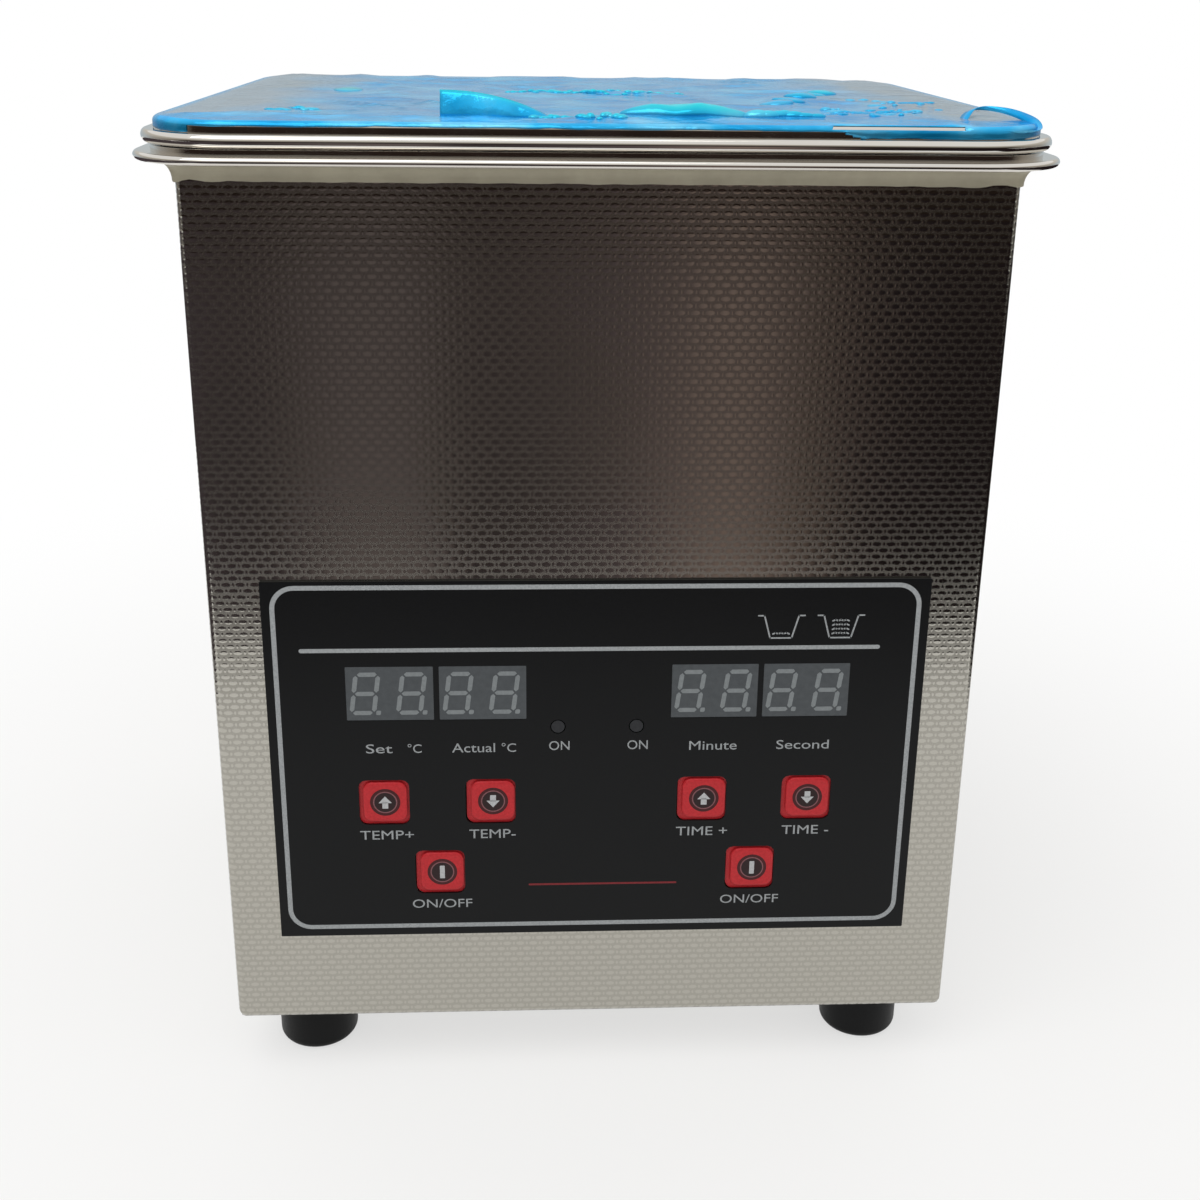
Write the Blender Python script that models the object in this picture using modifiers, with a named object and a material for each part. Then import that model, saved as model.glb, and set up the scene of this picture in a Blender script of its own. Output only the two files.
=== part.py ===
"""Two-litre bench ultrasonic cleaner, modelled piece by piece as it comes apart on a bench.

Metres, +Z up, front towards -Y. The origin is on the table, under the middle of the case.
Heights are stacked from the table: feet, case, base plate, transducer, tank, lid.
Widths are stacked outwards from the tank's mouth: tank wall, case wall, ledge, hem.
"""

import math
from typing import NamedTuple

import bmesh
import bpy
from mathutils import Matrix

# Sheet, clearances and mesh fineness
SHEET = 0.0008
SEAT_GAP = 0.0003
GLUE_LINE = 0.0001
CORNER_STEPS = 6
BEND_STEPS = 2
FILLET_STEPS = 3
ROUND_STEPS = 20
SMALL_ROUND_STEPS = 12
SHARP_ANGLE = math.radians(35)
SMALLEST_CORNER = 0.0002
WELD_DISTANCE = 1e-7

# Tank: a deep-drawn basin with a flat ledge, a step down and a folded hem
TANK_WIDTH = 0.150
TANK_LENGTH = 0.136
TANK_DEPTH = 0.100
TANK_CORNER = 0.020
TANK_FLOOR_FILLET = 0.010
MOUTH_ROLL = 0.002
LEDGE_WIDTH = 0.0098
LEDGE_STEP = 0.0011
HEM_OVERHANG = 0.0032
HEM_HEIGHT = 0.0016
HEM_CORNER = 0.018
HEM_EDGE_ROUND = 0.0005

# Case: one folded sheet, open at the top, with a flange turned in at the bottom
TANK_TO_CASE = 0.00265
CASE_BEND = 0.0016
CASE_FLANGE = 0.022
BASE_SHEET = 0.001
BASE_SLOT_COUNT = 7
BASE_SLOT_LENGTH = 0.050
BASE_SLOT_WIDTH = 0.004
BASE_SLOT_PITCH = 0.010

# Feet and their screws
FOOT_HEIGHT = 0.0137
FOOT_TOP_DIAMETER = 0.0185
FOOT_WAIST_DIAMETER = 0.0170
FOOT_COLLAR = 0.0015
FOOT_EDGE_ROUND = 0.002
FOOT_INSET = 0.0155
FOOT_SEAT_THICKNESS = 0.0055
FOOT_SCREW_DIAMETER = 0.004
FOOT_SCREW_HEAD_DIAMETER = 0.008
FOOT_SCREW_HEAD_HEIGHT = 0.0024
FOOT_SCREW_SPARE = 0.003
SCREW_HOLE_SPARE = 0.0006

# Transducer: a bolt-clamped stack glued under the tank
BAY_CLEARANCE = 0.024
BOLT_HEAD_HEIGHT = 0.006
BOLT_HEAD_DIAMETER = 0.016
BOLT_DIAMETER = 0.010
BOLT_SOCKET_DIAMETER = 0.008
BOLT_SOCKET_DEPTH = 0.004
BOLT_BORE_SPARE = 0.0006
BOLT_GRIP = 0.012
BOLT_TIP_CLEARANCE = 0.002
BACK_MASS_DIAMETER = 0.040
BACK_MASS_LENGTH = 0.018
RING_DIAMETER = 0.038
RING_BORE = 0.015
RING_THICKNESS = 0.005
ELECTRODE_THICKNESS = 0.0004
ELECTRODE_LIP = 0.001
FRONT_MASS_LENGTH = 0.028
FRONT_MASS_DIAMETER = 0.058
FRONT_MASS_NECK = 0.045
FRONT_MASS_FACE = 0.008

# Lid: a shallow pressed tray turned upside down on the ledge, with its film
LID_BEARING = 0.00135
LID_HEM_WIDTH = 0.00245
LID_HEM_HEIGHT = 0.0024
LID_RISE = 0.0046
LID_SHOULDER = 0.002
LID_CORNER = 0.0163
LID_EDGE_ROUND = 0.0004
FILM_THICKNESS = 0.00025

# Silicone bead between the hem and the case
BEAD_DROP = 0.0032
BEAD_FLARE = 0.0025
BEAD_TOE = 0.0004
BEAD_STEPS = 4

# Front panel
PANEL_SIDE_MARGIN = 0.01085
PANEL_HEIGHT = 0.083
PANEL_BELOW_TANK = 0.0259
OVERLAY_THICKNESS = 0.0005
WINDOW_LIP = 0.0003
DISPLAY_WIDTH = 0.0181
DISPLAY_HEIGHT = 0.01245
DISPLAY_DEPTH = 0.007
DISPLAY_SPACING = 0.0011
DISPLAY_PAIR_X = 0.03375
DISPLAY_BELOW_TANK = 0.0033
LAMP_DIAMETER = 0.0027
LAMP_FLANGE = 0.0004
LAMP_FLANGE_LENGTH = 0.001
LAMP_X = 0.00825
LAMP_Y = 0.00865
LAMP_SINK = 0.0001
KEY_SIZE = 0.010
KEY_CORNER = 0.0016
KEY_PROUD = 0.0003
KEY_EDGE_ROUND = 0.00025
KEY_LIP = 0.001
KEY_LIP_THICKNESS = 0.0008
KEY_TRAVEL = 0.0004
ARROW_ROW_Y = -0.0088
ARROW_OUTER_X = 0.045
ARROW_INNER_X = 0.0225
POWER_ROW_Y = -0.0259
POWER_X = 0.03355
PLUNGER_DIAMETER = 0.0032
PLUNGER_ENGAGED = 0.0012
SWITCH_SIZE = 0.006
SWITCH_HEIGHT = 0.0036
SWITCH_STOP = 0.0008

# Control board on studs welded behind the front wall
BOARD_THICKNESS = 0.0016
BOARD_MARGIN = 0.0015
BOARD_SKIRT = 0.007
BOARD_EDGE = 0.004
STUD_DIAMETER = 0.005
STUD_CLEARANCE = 0.0041
STUD_PIN_DIAMETER = 0.003
STUD_PIN_SPARE = 0.002

# Heater and sensors on the tank
HEATER_WIDTH = 0.090
HEATER_HEIGHT = 0.050
HEATER_THICKNESS = 0.0015
HEATER_ABOVE_FILLET = 0.006
SENSOR_SIDE = 0.046
SENSOR_REAR = 0.020
SENSOR_FLANGE_DIAMETER = 0.010
SENSOR_FLANGE = 0.0015
SENSOR_DIAMETER = 0.006
SENSOR_LENGTH = 0.009
CUTOUT_DIAMETER = 0.016
CUTOUT_CAP = 0.0025
CUTOUT_BODY_DIAMETER = 0.0135
CUTOUT_LENGTH = 0.009
BLADE_WIDTH = 0.0048
BLADE_THICKNESS = 0.0008
BLADE_LENGTH = 0.008
BLADE_SPACING = 0.007

# Driver board at the back of the base plate
STANDOFF_HEIGHT = 0.008
STANDOFF_DIAMETER = 0.006
STANDOFF_PIN_DIAMETER = 0.0026
STANDOFF_EDGE = 0.005
DRIVER_WIDTH = 0.090
DRIVER_LENGTH = 0.050
DRIVER_SIDE_GAP = 0.014
DRIVER_REAR_GAP = 0.004
PART_EDGE_GAP = 0.006
CORE_WIDTH = 0.032
CORE_LENGTH = 0.012
CORE_HEIGHT = 0.026
COIL_DIAMETER = 0.022
COIL_HEIGHT = 0.016
SINK_WIDTH = 0.040
SINK_HEIGHT = 0.030
SINK_BACK = 0.003
FIN_COUNT = 7
FIN_LENGTH = 0.009
FIN_THICKNESS = 0.0012
CAPACITOR_DIAMETER = 0.016
CAPACITOR_HEIGHT = 0.025
CAPACITOR_GROOVE = 0.0006

# Mains inlet and vents in the rear wall
INLET_X = 0.048
INLET_ABOVE_BASE = 0.026
INLET_BODY_WIDTH = 0.0275
INLET_BODY_HEIGHT = 0.020
INLET_BODY_DEPTH = 0.018
INLET_BODY_CORNER = 0.002
INLET_WALL = 0.0017
INLET_FLOOR = 0.0025
INLET_EAR = 0.0105
INLET_FLANGE_LIP = 0.0015
INLET_FLANGE = 0.0026
INLET_PIN_RECESS = 0.005
INLET_PIN_WIDTH = 0.002
INLET_PIN_HEIGHT = 0.004
INLET_PIN_SPACING = 0.007
INLET_EARTH_RISE = 0.003
INLET_SCREW_DIAMETER = 0.003
INLET_SCREW_HEAD_DIAMETER = 0.0058
INLET_SCREW_HEAD_HEIGHT = 0.002
INLET_SCREW_SPARE = 0.004
VENT_COUNT = 6
VENT_LENGTH = 0.044
VENT_WIDTH = 0.003
VENT_PITCH = 0.0075
VENT_X = -0.030
VENT_ABOVE_BASE = 0.018

# Heights, stacked from the table
CASE_BOTTOM = FOOT_HEIGHT + SEAT_GAP
BASE_BOTTOM = CASE_BOTTOM + SHEET + SEAT_GAP
BASE_TOP = BASE_BOTTOM + BASE_SHEET
BOLT_HEAD_BOTTOM = BASE_TOP + BAY_CLEARANCE
BACK_MASS_BOTTOM = BOLT_HEAD_BOTTOM + BOLT_HEAD_HEIGHT + GLUE_LINE
LOWER_RING_BOTTOM = BACK_MASS_BOTTOM + BACK_MASS_LENGTH + GLUE_LINE
ELECTRODE_BOTTOM = LOWER_RING_BOTTOM + RING_THICKNESS + GLUE_LINE
UPPER_RING_BOTTOM = ELECTRODE_BOTTOM + ELECTRODE_THICKNESS + GLUE_LINE
FRONT_MASS_BOTTOM = UPPER_RING_BOTTOM + RING_THICKNESS + GLUE_LINE
TANK_BOTTOM = FRONT_MASS_BOTTOM + FRONT_MASS_LENGTH + GLUE_LINE
LEDGE_TOP = TANK_BOTTOM + SHEET + TANK_DEPTH
CASE_TOP = LEDGE_TOP - SHEET - SEAT_GAP
HEM_TOP = LEDGE_TOP - LEDGE_STEP
HEM_BOTTOM = HEM_TOP - HEM_HEIGHT
LID_BOTTOM = LEDGE_TOP + SEAT_GAP
LID_TOP = LID_BOTTOM + LID_RISE
PANEL_CENTRE_Z = TANK_BOTTOM - PANEL_BELOW_TANK

# Half widths, stacked from the tank's mouth
MOUTH_X = TANK_WIDTH / 2
MOUTH_Y = TANK_LENGTH / 2
CASE_OFFSET = SHEET + TANK_TO_CASE + SHEET
CASE_X = MOUTH_X + CASE_OFFSET
CASE_Y = MOUTH_Y + CASE_OFFSET
HEM_OFFSET = LEDGE_WIDTH + HEM_OVERHANG
LID_WALL_OFFSET = LEDGE_WIDTH - LID_BEARING + SHEET
FOOT_X = CASE_X - FOOT_INSET
FOOT_Y = CASE_Y - FOOT_INSET

# Depths behind the front face, as outward heights of the panel's own frame
OVERLAY_BACK = GLUE_LINE
OVERLAY_FRONT = OVERLAY_BACK + OVERLAY_THICKNESS
KEY_LIP_FRONT = OVERLAY_BACK - SEAT_GAP
KEY_BACK = KEY_LIP_FRONT - KEY_LIP_THICKNESS
DISPLAY_FRONT = OVERLAY_BACK - SEAT_GAP
BOARD_FRONT = DISPLAY_FRONT - DISPLAY_DEPTH - GLUE_LINE
BOARD_BACK = BOARD_FRONT - BOARD_THICKNESS
SWITCH_BACK = BOARD_FRONT + GLUE_LINE
SWITCH_FRONT = SWITCH_BACK + SWITCH_HEIGHT

# Places on the panel, right and up from its centre
DISPLAY_PITCH = DISPLAY_WIDTH + DISPLAY_SPACING
DISPLAY_TOP_Y = PANEL_BELOW_TANK - DISPLAY_BELOW_TANK
DISPLAY_Y = DISPLAY_TOP_Y - DISPLAY_HEIGHT / 2
DISPLAY_PLACES = {
    "set_temperature": -DISPLAY_PAIR_X - DISPLAY_PITCH / 2,
    "actual_temperature": -DISPLAY_PAIR_X + DISPLAY_PITCH / 2,
    "minutes": DISPLAY_PAIR_X - DISPLAY_PITCH / 2,
    "seconds": DISPLAY_PAIR_X + DISPLAY_PITCH / 2,
}
LAMP_PLACES = {"heater": (-LAMP_X, LAMP_Y), "timer": (LAMP_X, LAMP_Y)}
KEY_PLACES = {
    "temperature_up": (-ARROW_OUTER_X, ARROW_ROW_Y),
    "temperature_down": (-ARROW_INNER_X, ARROW_ROW_Y),
    "time_up": (ARROW_INNER_X, ARROW_ROW_Y),
    "time_down": (ARROW_OUTER_X, ARROW_ROW_Y),
    "heater_power": (-POWER_X, POWER_ROW_Y),
    "timer_power": (POWER_X, POWER_ROW_Y),
}
STUD_X = DISPLAY_PAIR_X + DISPLAY_PITCH / 2 + DISPLAY_WIDTH / 2 + STUD_CLEARANCE
STUD_PLACES = [(side * STUD_X, y) for side in (-1, 1) for y in (DISPLAY_Y, POWER_ROW_Y)]
FOOT_PLACES = {
    "front_left": (-FOOT_X, -FOOT_Y),
    "front_right": (FOOT_X, -FOOT_Y),
    "rear_left": (-FOOT_X, FOOT_Y),
    "rear_right": (FOOT_X, FOOT_Y),
}

# Driver board, left and back corner of the bay
DRIVER_X = -CASE_X + SHEET + DRIVER_SIDE_GAP + DRIVER_WIDTH / 2
DRIVER_Y = CASE_Y - SHEET - DRIVER_REAR_GAP - DRIVER_LENGTH / 2
DRIVER_BOTTOM = BASE_TOP + STANDOFF_HEIGHT + SEAT_GAP
DRIVER_TOP = DRIVER_BOTTOM + BOARD_THICKNESS
STANDOFF_PLACES = [
    (DRIVER_X + sx * (DRIVER_WIDTH / 2 - STANDOFF_EDGE), DRIVER_Y + sy * (DRIVER_LENGTH / 2 - STANDOFF_EDGE))
    for sx in (-1, 1)
    for sy in (-1, 1)
]


class Section(NamedTuple):
    """A rounded rectangle at one height of a loft."""

    half_x: float
    half_y: float
    corner: float
    z: float


def remove_old_objects():
    """Empty the file of whatever it opened with."""
    for obj in list(bpy.data.objects):
        bpy.data.objects.remove(obj, do_unlink=True)


def new_collection(name):
    """Add a collection under the scene."""
    collection = bpy.data.collections.new(name)
    bpy.context.scene.collection.children.link(collection)
    return collection


def new_finish(name, colour, roughness, metallic=0.0):
    """Principled material with one colour, roughness and metallic value."""
    finish = bpy.data.materials.new(name)
    finish.use_nodes = True
    shader = finish.node_tree.nodes["Principled BSDF"]
    shader.inputs["Base Color"].default_value = (*colour, 1.0)
    shader.inputs["Roughness"].default_value = roughness
    shader.inputs["Metallic"].default_value = metallic
    finish.diffuse_color = (*colour, 1.0)
    return finish


remove_old_objects()
PARTS = new_collection("ultrasonic_cleaner")
TOOLS = new_collection("cutters")

EMBOSSED_STEEL = new_finish("embossed stainless", (0.46, 0.43, 0.38), 0.32, 1.0)
POLISHED_STEEL = new_finish("polished stainless", (0.62, 0.61, 0.58), 0.18, 1.0)
PLATED_STEEL = new_finish("zinc plated steel", (0.55, 0.56, 0.57), 0.35, 1.0)
ALUMINIUM = new_finish("turned aluminium", (0.70, 0.70, 0.70), 0.30, 1.0)
COPPER = new_finish("copper sheet", (0.72, 0.38, 0.22), 0.30, 1.0)
BLUE_FILM = new_finish("blue transit film", (0.02, 0.42, 0.72), 0.20)
SILICONE = new_finish("cream silicone", (0.36, 0.34, 0.27), 0.55)
BLACK_RUBBER = new_finish("black rubber", (0.010, 0.011, 0.012), 0.75)
BLACK_OVERLAY = new_finish("black polyester film", (0.011, 0.011, 0.013), 0.35)
GREY_DISPLAY = new_finish("grey display face", (0.09, 0.10, 0.105), 0.40)
DARK_LENS = new_finish("dark lamp lens", (0.04, 0.045, 0.05), 0.25)
RED_KEY = new_finish("red key film", (0.53, 0.023, 0.030), 0.40)
BLACK_PLASTIC = new_finish("black moulded plastic", (0.015, 0.015, 0.016), 0.45)
GREEN_BOARD = new_finish("green board", (0.02, 0.14, 0.06), 0.45)
PIEZO_CERAMIC = new_finish("piezo ceramic", (0.42, 0.36, 0.27), 0.60)
RED_SILICONE = new_finish("heater silicone", (0.42, 0.10, 0.05), 0.65)
DARK_FERRITE = new_finish("ferrite", (0.03, 0.03, 0.032), 0.60)
BLUE_SLEEVE = new_finish("capacitor sleeve", (0.02, 0.05, 0.20), 0.35)


def new_datum(name, location, rotation=(0.0, 0.0, 0.0)):
    """Empty that carries the pieces of one sub-assembly."""
    datum = bpy.data.objects.new(name, None)
    datum.location = location
    datum.rotation_euler = rotation
    PARTS.objects.link(datum)
    return datum


CASE_DATUM = new_datum("case_datum", (0.0, 0.0, 0.0))
LID_DATUM = new_datum("lid_datum", (0.0, 0.0, LID_BOTTOM))
# On these two frames x is right, y is up and z points out of the wall, for someone facing it.
PANEL_DATUM = new_datum("panel_datum", (0.0, -CASE_Y, PANEL_CENTRE_Z), (math.pi / 2, 0.0, 0.0))
REAR_DATUM = new_datum("rear_datum", (0.0, CASE_Y, BASE_TOP), (math.pi / 2, 0.0, math.pi))


def finish_mesh(name, bm):
    """Turn a bmesh into a mesh with its faces out and its round stretches smooth."""
    bmesh.ops.remove_doubles(bm, verts=bm.verts, dist=WELD_DISTANCE)
    bmesh.ops.recalc_face_normals(bm, faces=bm.faces)
    mesh = bpy.data.meshes.new(name)
    bm.to_mesh(mesh)
    bm.free()
    mesh.shade_smooth()
    mesh.set_sharp_from_angle(angle=SHARP_ANGLE)
    return mesh


def add_part(name, bm, finish, parent, location=(0.0, 0.0, 0.0)):
    """Make one named piece of the object from a bmesh."""
    part = bpy.data.objects.new(name, finish_mesh(name, bm))
    part.data.materials.append(finish)
    part.parent = parent
    part.location = location
    PARTS.objects.link(part)
    return part


def add_tool(name, bm, parent):
    """Make a hidden shape that a Boolean uses."""
    tool = bpy.data.objects.new(name, finish_mesh(name, bm))
    tool.parent = parent
    tool.hide_render = True
    tool.display_type = "WIRE"
    TOOLS.objects.link(tool)
    return tool


def combine(part, tool, operation):
    """Cut a tool out of a part, or join it on."""
    boolean = part.modifiers.new(tool.name, "BOOLEAN")
    boolean.operation = operation
    boolean.object = tool
    boolean.solver = "EXACT"


def cut(part, tool):
    """Cut a tool out of a part."""
    combine(part, tool, "DIFFERENCE")


def join(part, tool):
    """Join a tool on to a part."""
    combine(part, tool, "UNION")


def add_box(bm, centre, size):
    """Add a box to a bmesh."""
    place = Matrix.Translation(centre) @ Matrix.Diagonal((*size, 1.0))
    bmesh.ops.create_cube(bm, size=1.0, matrix=place)


def add_rod(bm, x, y, low, high, diameter, steps=SMALL_ROUND_STEPS):
    """Add an upright cylinder to a bmesh."""
    place = Matrix.Translation((x, y, (low + high) / 2))
    bmesh.ops.create_cone(
        bm,
        cap_ends=True,
        segments=steps,
        radius1=diameter / 2,
        radius2=diameter / 2,
        depth=high - low,
        matrix=place,
    )


def add_ring(bm, section, x, y, steps):
    """Add the vertices of one rounded rectangle, in order round it."""
    corner = min(max(section.corner, SMALLEST_CORNER), section.half_x, section.half_y)
    ring = []
    for side_x, side_y, start in ((1, 1, 0), (-1, 1, 90), (-1, -1, 180), (1, -1, 270)):
        for step in range(steps + 1):
            angle = math.radians(start + 90 * step / steps)
            ring_x = side_x * (section.half_x - corner) + corner * math.cos(angle)
            ring_y = side_y * (section.half_y - corner) + corner * math.sin(angle)
            ring.append(bm.verts.new((x + ring_x, y + ring_y, section.z)))
    return ring


def add_loft(bm, sections, x=0.0, y=0.0, steps=CORNER_STEPS, closed=False):
    """Skin a list of sections, capped at both ends or closed into a ring."""
    rings = [add_ring(bm, section, x, y, steps) for section in sections]
    pairs = list(zip(rings, rings[1:]))
    if closed:
        pairs.append((rings[-1], rings[0]))
    for first, second in pairs:
        for here in range(len(first)):
            after = (here + 1) % len(first)
            bm.faces.new((first[here], first[after], second[after], second[here]))
    if not closed:
        bm.faces.new(rings[0])
        bm.faces.new(rings[-1])


def add_plate(bm, x, y, width, height, low, high, corner=SMALLEST_CORNER, steps=BEND_STEPS):
    """Add a flat plate with rounded corners to a bmesh."""
    sections = [Section(width / 2, height / 2, corner, z) for z in (low, high)]
    add_loft(bm, sections, x, y, steps)


def add_turned(name, profile, finish, parent, location=(0.0, 0.0, 0.0), closed=False, steps=ROUND_STEPS):
    """Make a turned piece from a profile of (radius, z) that runs down its outer side."""
    count = len(profile)
    edges = [(here, here + 1) for here in range(count - 1)]
    if closed:
        edges.append((count - 1, 0))
    mesh = bpy.data.meshes.new(name)
    mesh.from_pydata([(radius, 0.0, z) for radius, z in profile], edges, [])
    mesh.materials.append(finish)
    part = bpy.data.objects.new(name, mesh)
    part.parent = parent
    part.location = location
    PARTS.objects.link(part)
    screw = part.modifiers.new("turn", "SCREW")
    screw.axis = "Z"
    screw.angle = 2 * math.pi
    screw.steps = steps
    screw.render_steps = steps
    screw.use_merge_vertices = True
    screw.merge_threshold = WELD_DISTANCE
    screw.use_smooth_shade = True
    return part


def arc(start, end, steps):
    """Angles from start to end in degrees, as radians."""
    return [math.radians(start + (end - start) * step / steps) for step in range(steps + 1)]


def tank_wall(offset, z):
    """Section of the tank, concentric with its mouth."""
    return Section(MOUTH_X + offset, MOUTH_Y + offset, TANK_CORNER + offset, z)


def rim(offset, z):
    """Section of the ledge and hem, concentric with the hem's outer edge."""
    return Section(MOUTH_X + offset, MOUTH_Y + offset, HEM_CORNER + offset - HEM_OFFSET, z)


def tank_side(skin):
    """Basin sections from the floor up to the ledge, on the sheet's inner or outer face.

    skin is 0 on the wet face and SHEET on the dry one.
    """
    floor_z = LEDGE_TOP - TANK_DEPTH + TANK_FLOOR_FILLET
    floor_radius = TANK_FLOOR_FILLET + skin
    roll_radius = MOUTH_ROLL - skin
    floor = [
        tank_wall(floor_radius * math.sin(angle) - TANK_FLOOR_FILLET, floor_z - floor_radius * math.cos(angle))
        for angle in arc(0, 90, FILLET_STEPS)
    ]
    roll = [
        tank_wall(MOUTH_ROLL - roll_radius * math.cos(angle), LEDGE_TOP - MOUTH_ROLL + roll_radius * math.sin(angle))
        for angle in arc(0, 90, FILLET_STEPS)
    ]
    return floor + roll


def build_tank():
    """Drawn basin, flat ledge, step and folded hem in one sheet."""
    hem_middle = (HEM_TOP + HEM_BOTTOM) / 2
    edge = [
        rim(LEDGE_WIDTH - HEM_EDGE_ROUND, LEDGE_TOP),
        rim(LEDGE_WIDTH, LEDGE_TOP - HEM_EDGE_ROUND),
        rim(LEDGE_WIDTH, HEM_TOP),
        rim(HEM_OFFSET - HEM_EDGE_ROUND, HEM_TOP),
        rim(HEM_OFFSET, hem_middle),
        rim(HEM_OFFSET - HEM_EDGE_ROUND, HEM_BOTTOM),
        rim(LEDGE_WIDTH - SHEET, HEM_BOTTOM),
        rim(LEDGE_WIDTH - SHEET, LEDGE_TOP - SHEET),
    ]
    bm = bmesh.new()
    add_loft(bm, tank_side(0.0) + edge + tank_side(SHEET)[::-1])
    add_part("tank", bm, POLISHED_STEEL, CASE_DATUM)


def build_rim_gasket():
    """Silicone bead that flares from the case up to the underside of the hem."""
    top = HEM_BOTTOM - SEAT_GAP
    profile = [(GLUE_LINE, top), (GLUE_LINE, top - BEAD_DROP)]
    for angle in arc(0, 90, BEAD_STEPS):
        reach = BEAD_TOE + (BEAD_FLARE - BEAD_TOE) * (1 - math.cos(angle))
        profile.append((GLUE_LINE + reach, top - BEAD_DROP * (1 - math.sin(angle))))
    bm = bmesh.new()
    add_loft(bm, [case_section(out, z) for out, z in profile], steps=FILLET_STEPS, closed=True)
    add_part("rim_gasket", bm, SILICONE, CASE_DATUM)


def case_section(offset, z):
    """Section of the case, concentric with its outer bends."""
    return Section(CASE_X + offset, CASE_Y + offset, CASE_BEND + offset, z)


def build_housing_shell():
    """Folded case with its flange, front and rear openings and welded board studs."""
    bend = math.sqrt(0.5) * CASE_BEND
    sections = [
        case_section(0.0, CASE_TOP),
        case_section(0.0, CASE_BOTTOM + CASE_BEND),
        case_section(bend - CASE_BEND, CASE_BOTTOM + CASE_BEND - bend),
        case_section(-CASE_BEND, CASE_BOTTOM),
        case_section(-CASE_FLANGE, CASE_BOTTOM),
        case_section(-CASE_FLANGE, CASE_BOTTOM + SHEET),
        case_section(-CASE_BEND, CASE_BOTTOM + SHEET),
        case_section(-SHEET, CASE_BOTTOM + CASE_BEND),
        case_section(-SHEET, CASE_TOP),
    ]
    bm = bmesh.new()
    add_loft(bm, sections, steps=BEND_STEPS, closed=True)
    shell = add_part("housing_shell", bm, EMBOSSED_STEEL, CASE_DATUM)
    cut(shell, front_openings())
    cut(shell, rear_openings())
    cut(shell, foot_screw_holes("case_foot_holes", CASE_BOTTOM - SHEET, CASE_BOTTOM + 2 * SHEET))
    join(shell, board_studs("stud_shoulders", STUD_DIAMETER, -SHEET / 2, BOARD_FRONT + SEAT_GAP))
    join(shell, board_studs("stud_pins", STUD_PIN_DIAMETER, -SHEET / 2, BOARD_BACK - STUD_PIN_SPARE))


def front_openings():
    """Cutter for the display, lamp and key openings in the front wall."""
    depth = 2 * SHEET
    bm = bmesh.new()
    window_width = 2 * DISPLAY_WIDTH + DISPLAY_SPACING + 2 * SEAT_GAP
    for side in (-1, 1):
        add_plate(bm, side * DISPLAY_PAIR_X, DISPLAY_Y, window_width, DISPLAY_HEIGHT + 2 * SEAT_GAP, -depth, depth)
    for x, y in LAMP_PLACES.values():
        add_rod(bm, x, y, -depth, depth, LAMP_DIAMETER + 2 * LAMP_FLANGE + 2 * SEAT_GAP)
    opening = KEY_SIZE + 2 * KEY_LIP + 2 * SEAT_GAP
    for x, y in KEY_PLACES.values():
        add_plate(bm, x, y, opening, opening, -depth, depth, KEY_CORNER + SEAT_GAP)
    return add_tool("front_openings", bm, PANEL_DATUM)


def rear_openings():
    """Cutter for the vents, the inlet and its screws in the rear wall."""
    depth = 2 * SHEET
    bm = bmesh.new()
    for row in range(VENT_COUNT):
        vent_y = VENT_ABOVE_BASE + row * VENT_PITCH
        add_plate(bm, -VENT_X, vent_y, VENT_LENGTH, VENT_WIDTH, -depth, depth, VENT_WIDTH / 2, FILLET_STEPS)
    width = INLET_BODY_WIDTH + 2 * SEAT_GAP
    height = INLET_BODY_HEIGHT + 2 * SEAT_GAP
    add_plate(bm, -INLET_X, INLET_ABOVE_BASE, width, height, -depth, depth, INLET_BODY_CORNER + SEAT_GAP)
    for x in inlet_screw_places().values():
        add_rod(bm, x, INLET_ABOVE_BASE, -depth, depth, INLET_SCREW_DIAMETER + SCREW_HOLE_SPARE)
    return add_tool("rear_openings", bm, REAR_DATUM)


def foot_screw_holes(name, low, high):
    """Cutter for the four foot screws."""
    bm = bmesh.new()
    for x, y in FOOT_PLACES.values():
        add_rod(bm, x, y, low, high, FOOT_SCREW_DIAMETER + SCREW_HOLE_SPARE)
    return add_tool(name, bm, CASE_DATUM)


def board_studs(name, diameter, front, back):
    """Rods behind the front wall that carry the control board."""
    bm = bmesh.new()
    for x, y in STUD_PLACES:
        add_rod(bm, x, y, back, front, diameter)
    return add_tool(name, bm, PANEL_DATUM)


def build_base_plate():
    """Plate on the case's flange, with vents and the driver board's standoffs."""
    reach = CASE_BEND + SEAT_GAP
    bm = bmesh.new()
    add_plate(bm, 0.0, 0.0, 2 * (CASE_X - reach), 2 * (CASE_Y - reach), BASE_BOTTOM, BASE_TOP, CASE_BEND)
    plate = add_part("base_plate", bm, PLATED_STEEL, CASE_DATUM)
    cut(plate, foot_screw_holes("base_foot_holes", BASE_BOTTOM - BASE_SHEET, BASE_TOP + BASE_SHEET))
    slots = bmesh.new()
    for row in range(BASE_SLOT_COUNT):
        x = (row - (BASE_SLOT_COUNT - 1) / 2) * BASE_SLOT_PITCH
        low = BASE_BOTTOM - BASE_SHEET
        high = BASE_TOP + BASE_SHEET
        add_plate(slots, x, -DRIVER_Y / 2, BASE_SLOT_WIDTH, BASE_SLOT_LENGTH, low, high, BASE_SLOT_WIDTH / 2)
    cut(plate, add_tool("base_slots", slots, CASE_DATUM))
    shoulders = bmesh.new()
    pins = bmesh.new()
    middle = (BASE_BOTTOM + BASE_TOP) / 2
    for x, y in STANDOFF_PLACES:
        add_rod(shoulders, x, y, middle, BASE_TOP + STANDOFF_HEIGHT, STANDOFF_DIAMETER)
        add_rod(pins, x, y, middle, DRIVER_TOP + BOARD_THICKNESS, STANDOFF_PIN_DIAMETER)
    join(plate, add_tool("standoff_shoulders", shoulders, CASE_DATUM))
    join(plate, add_tool("standoff_pins", pins, CASE_DATUM))


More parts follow.
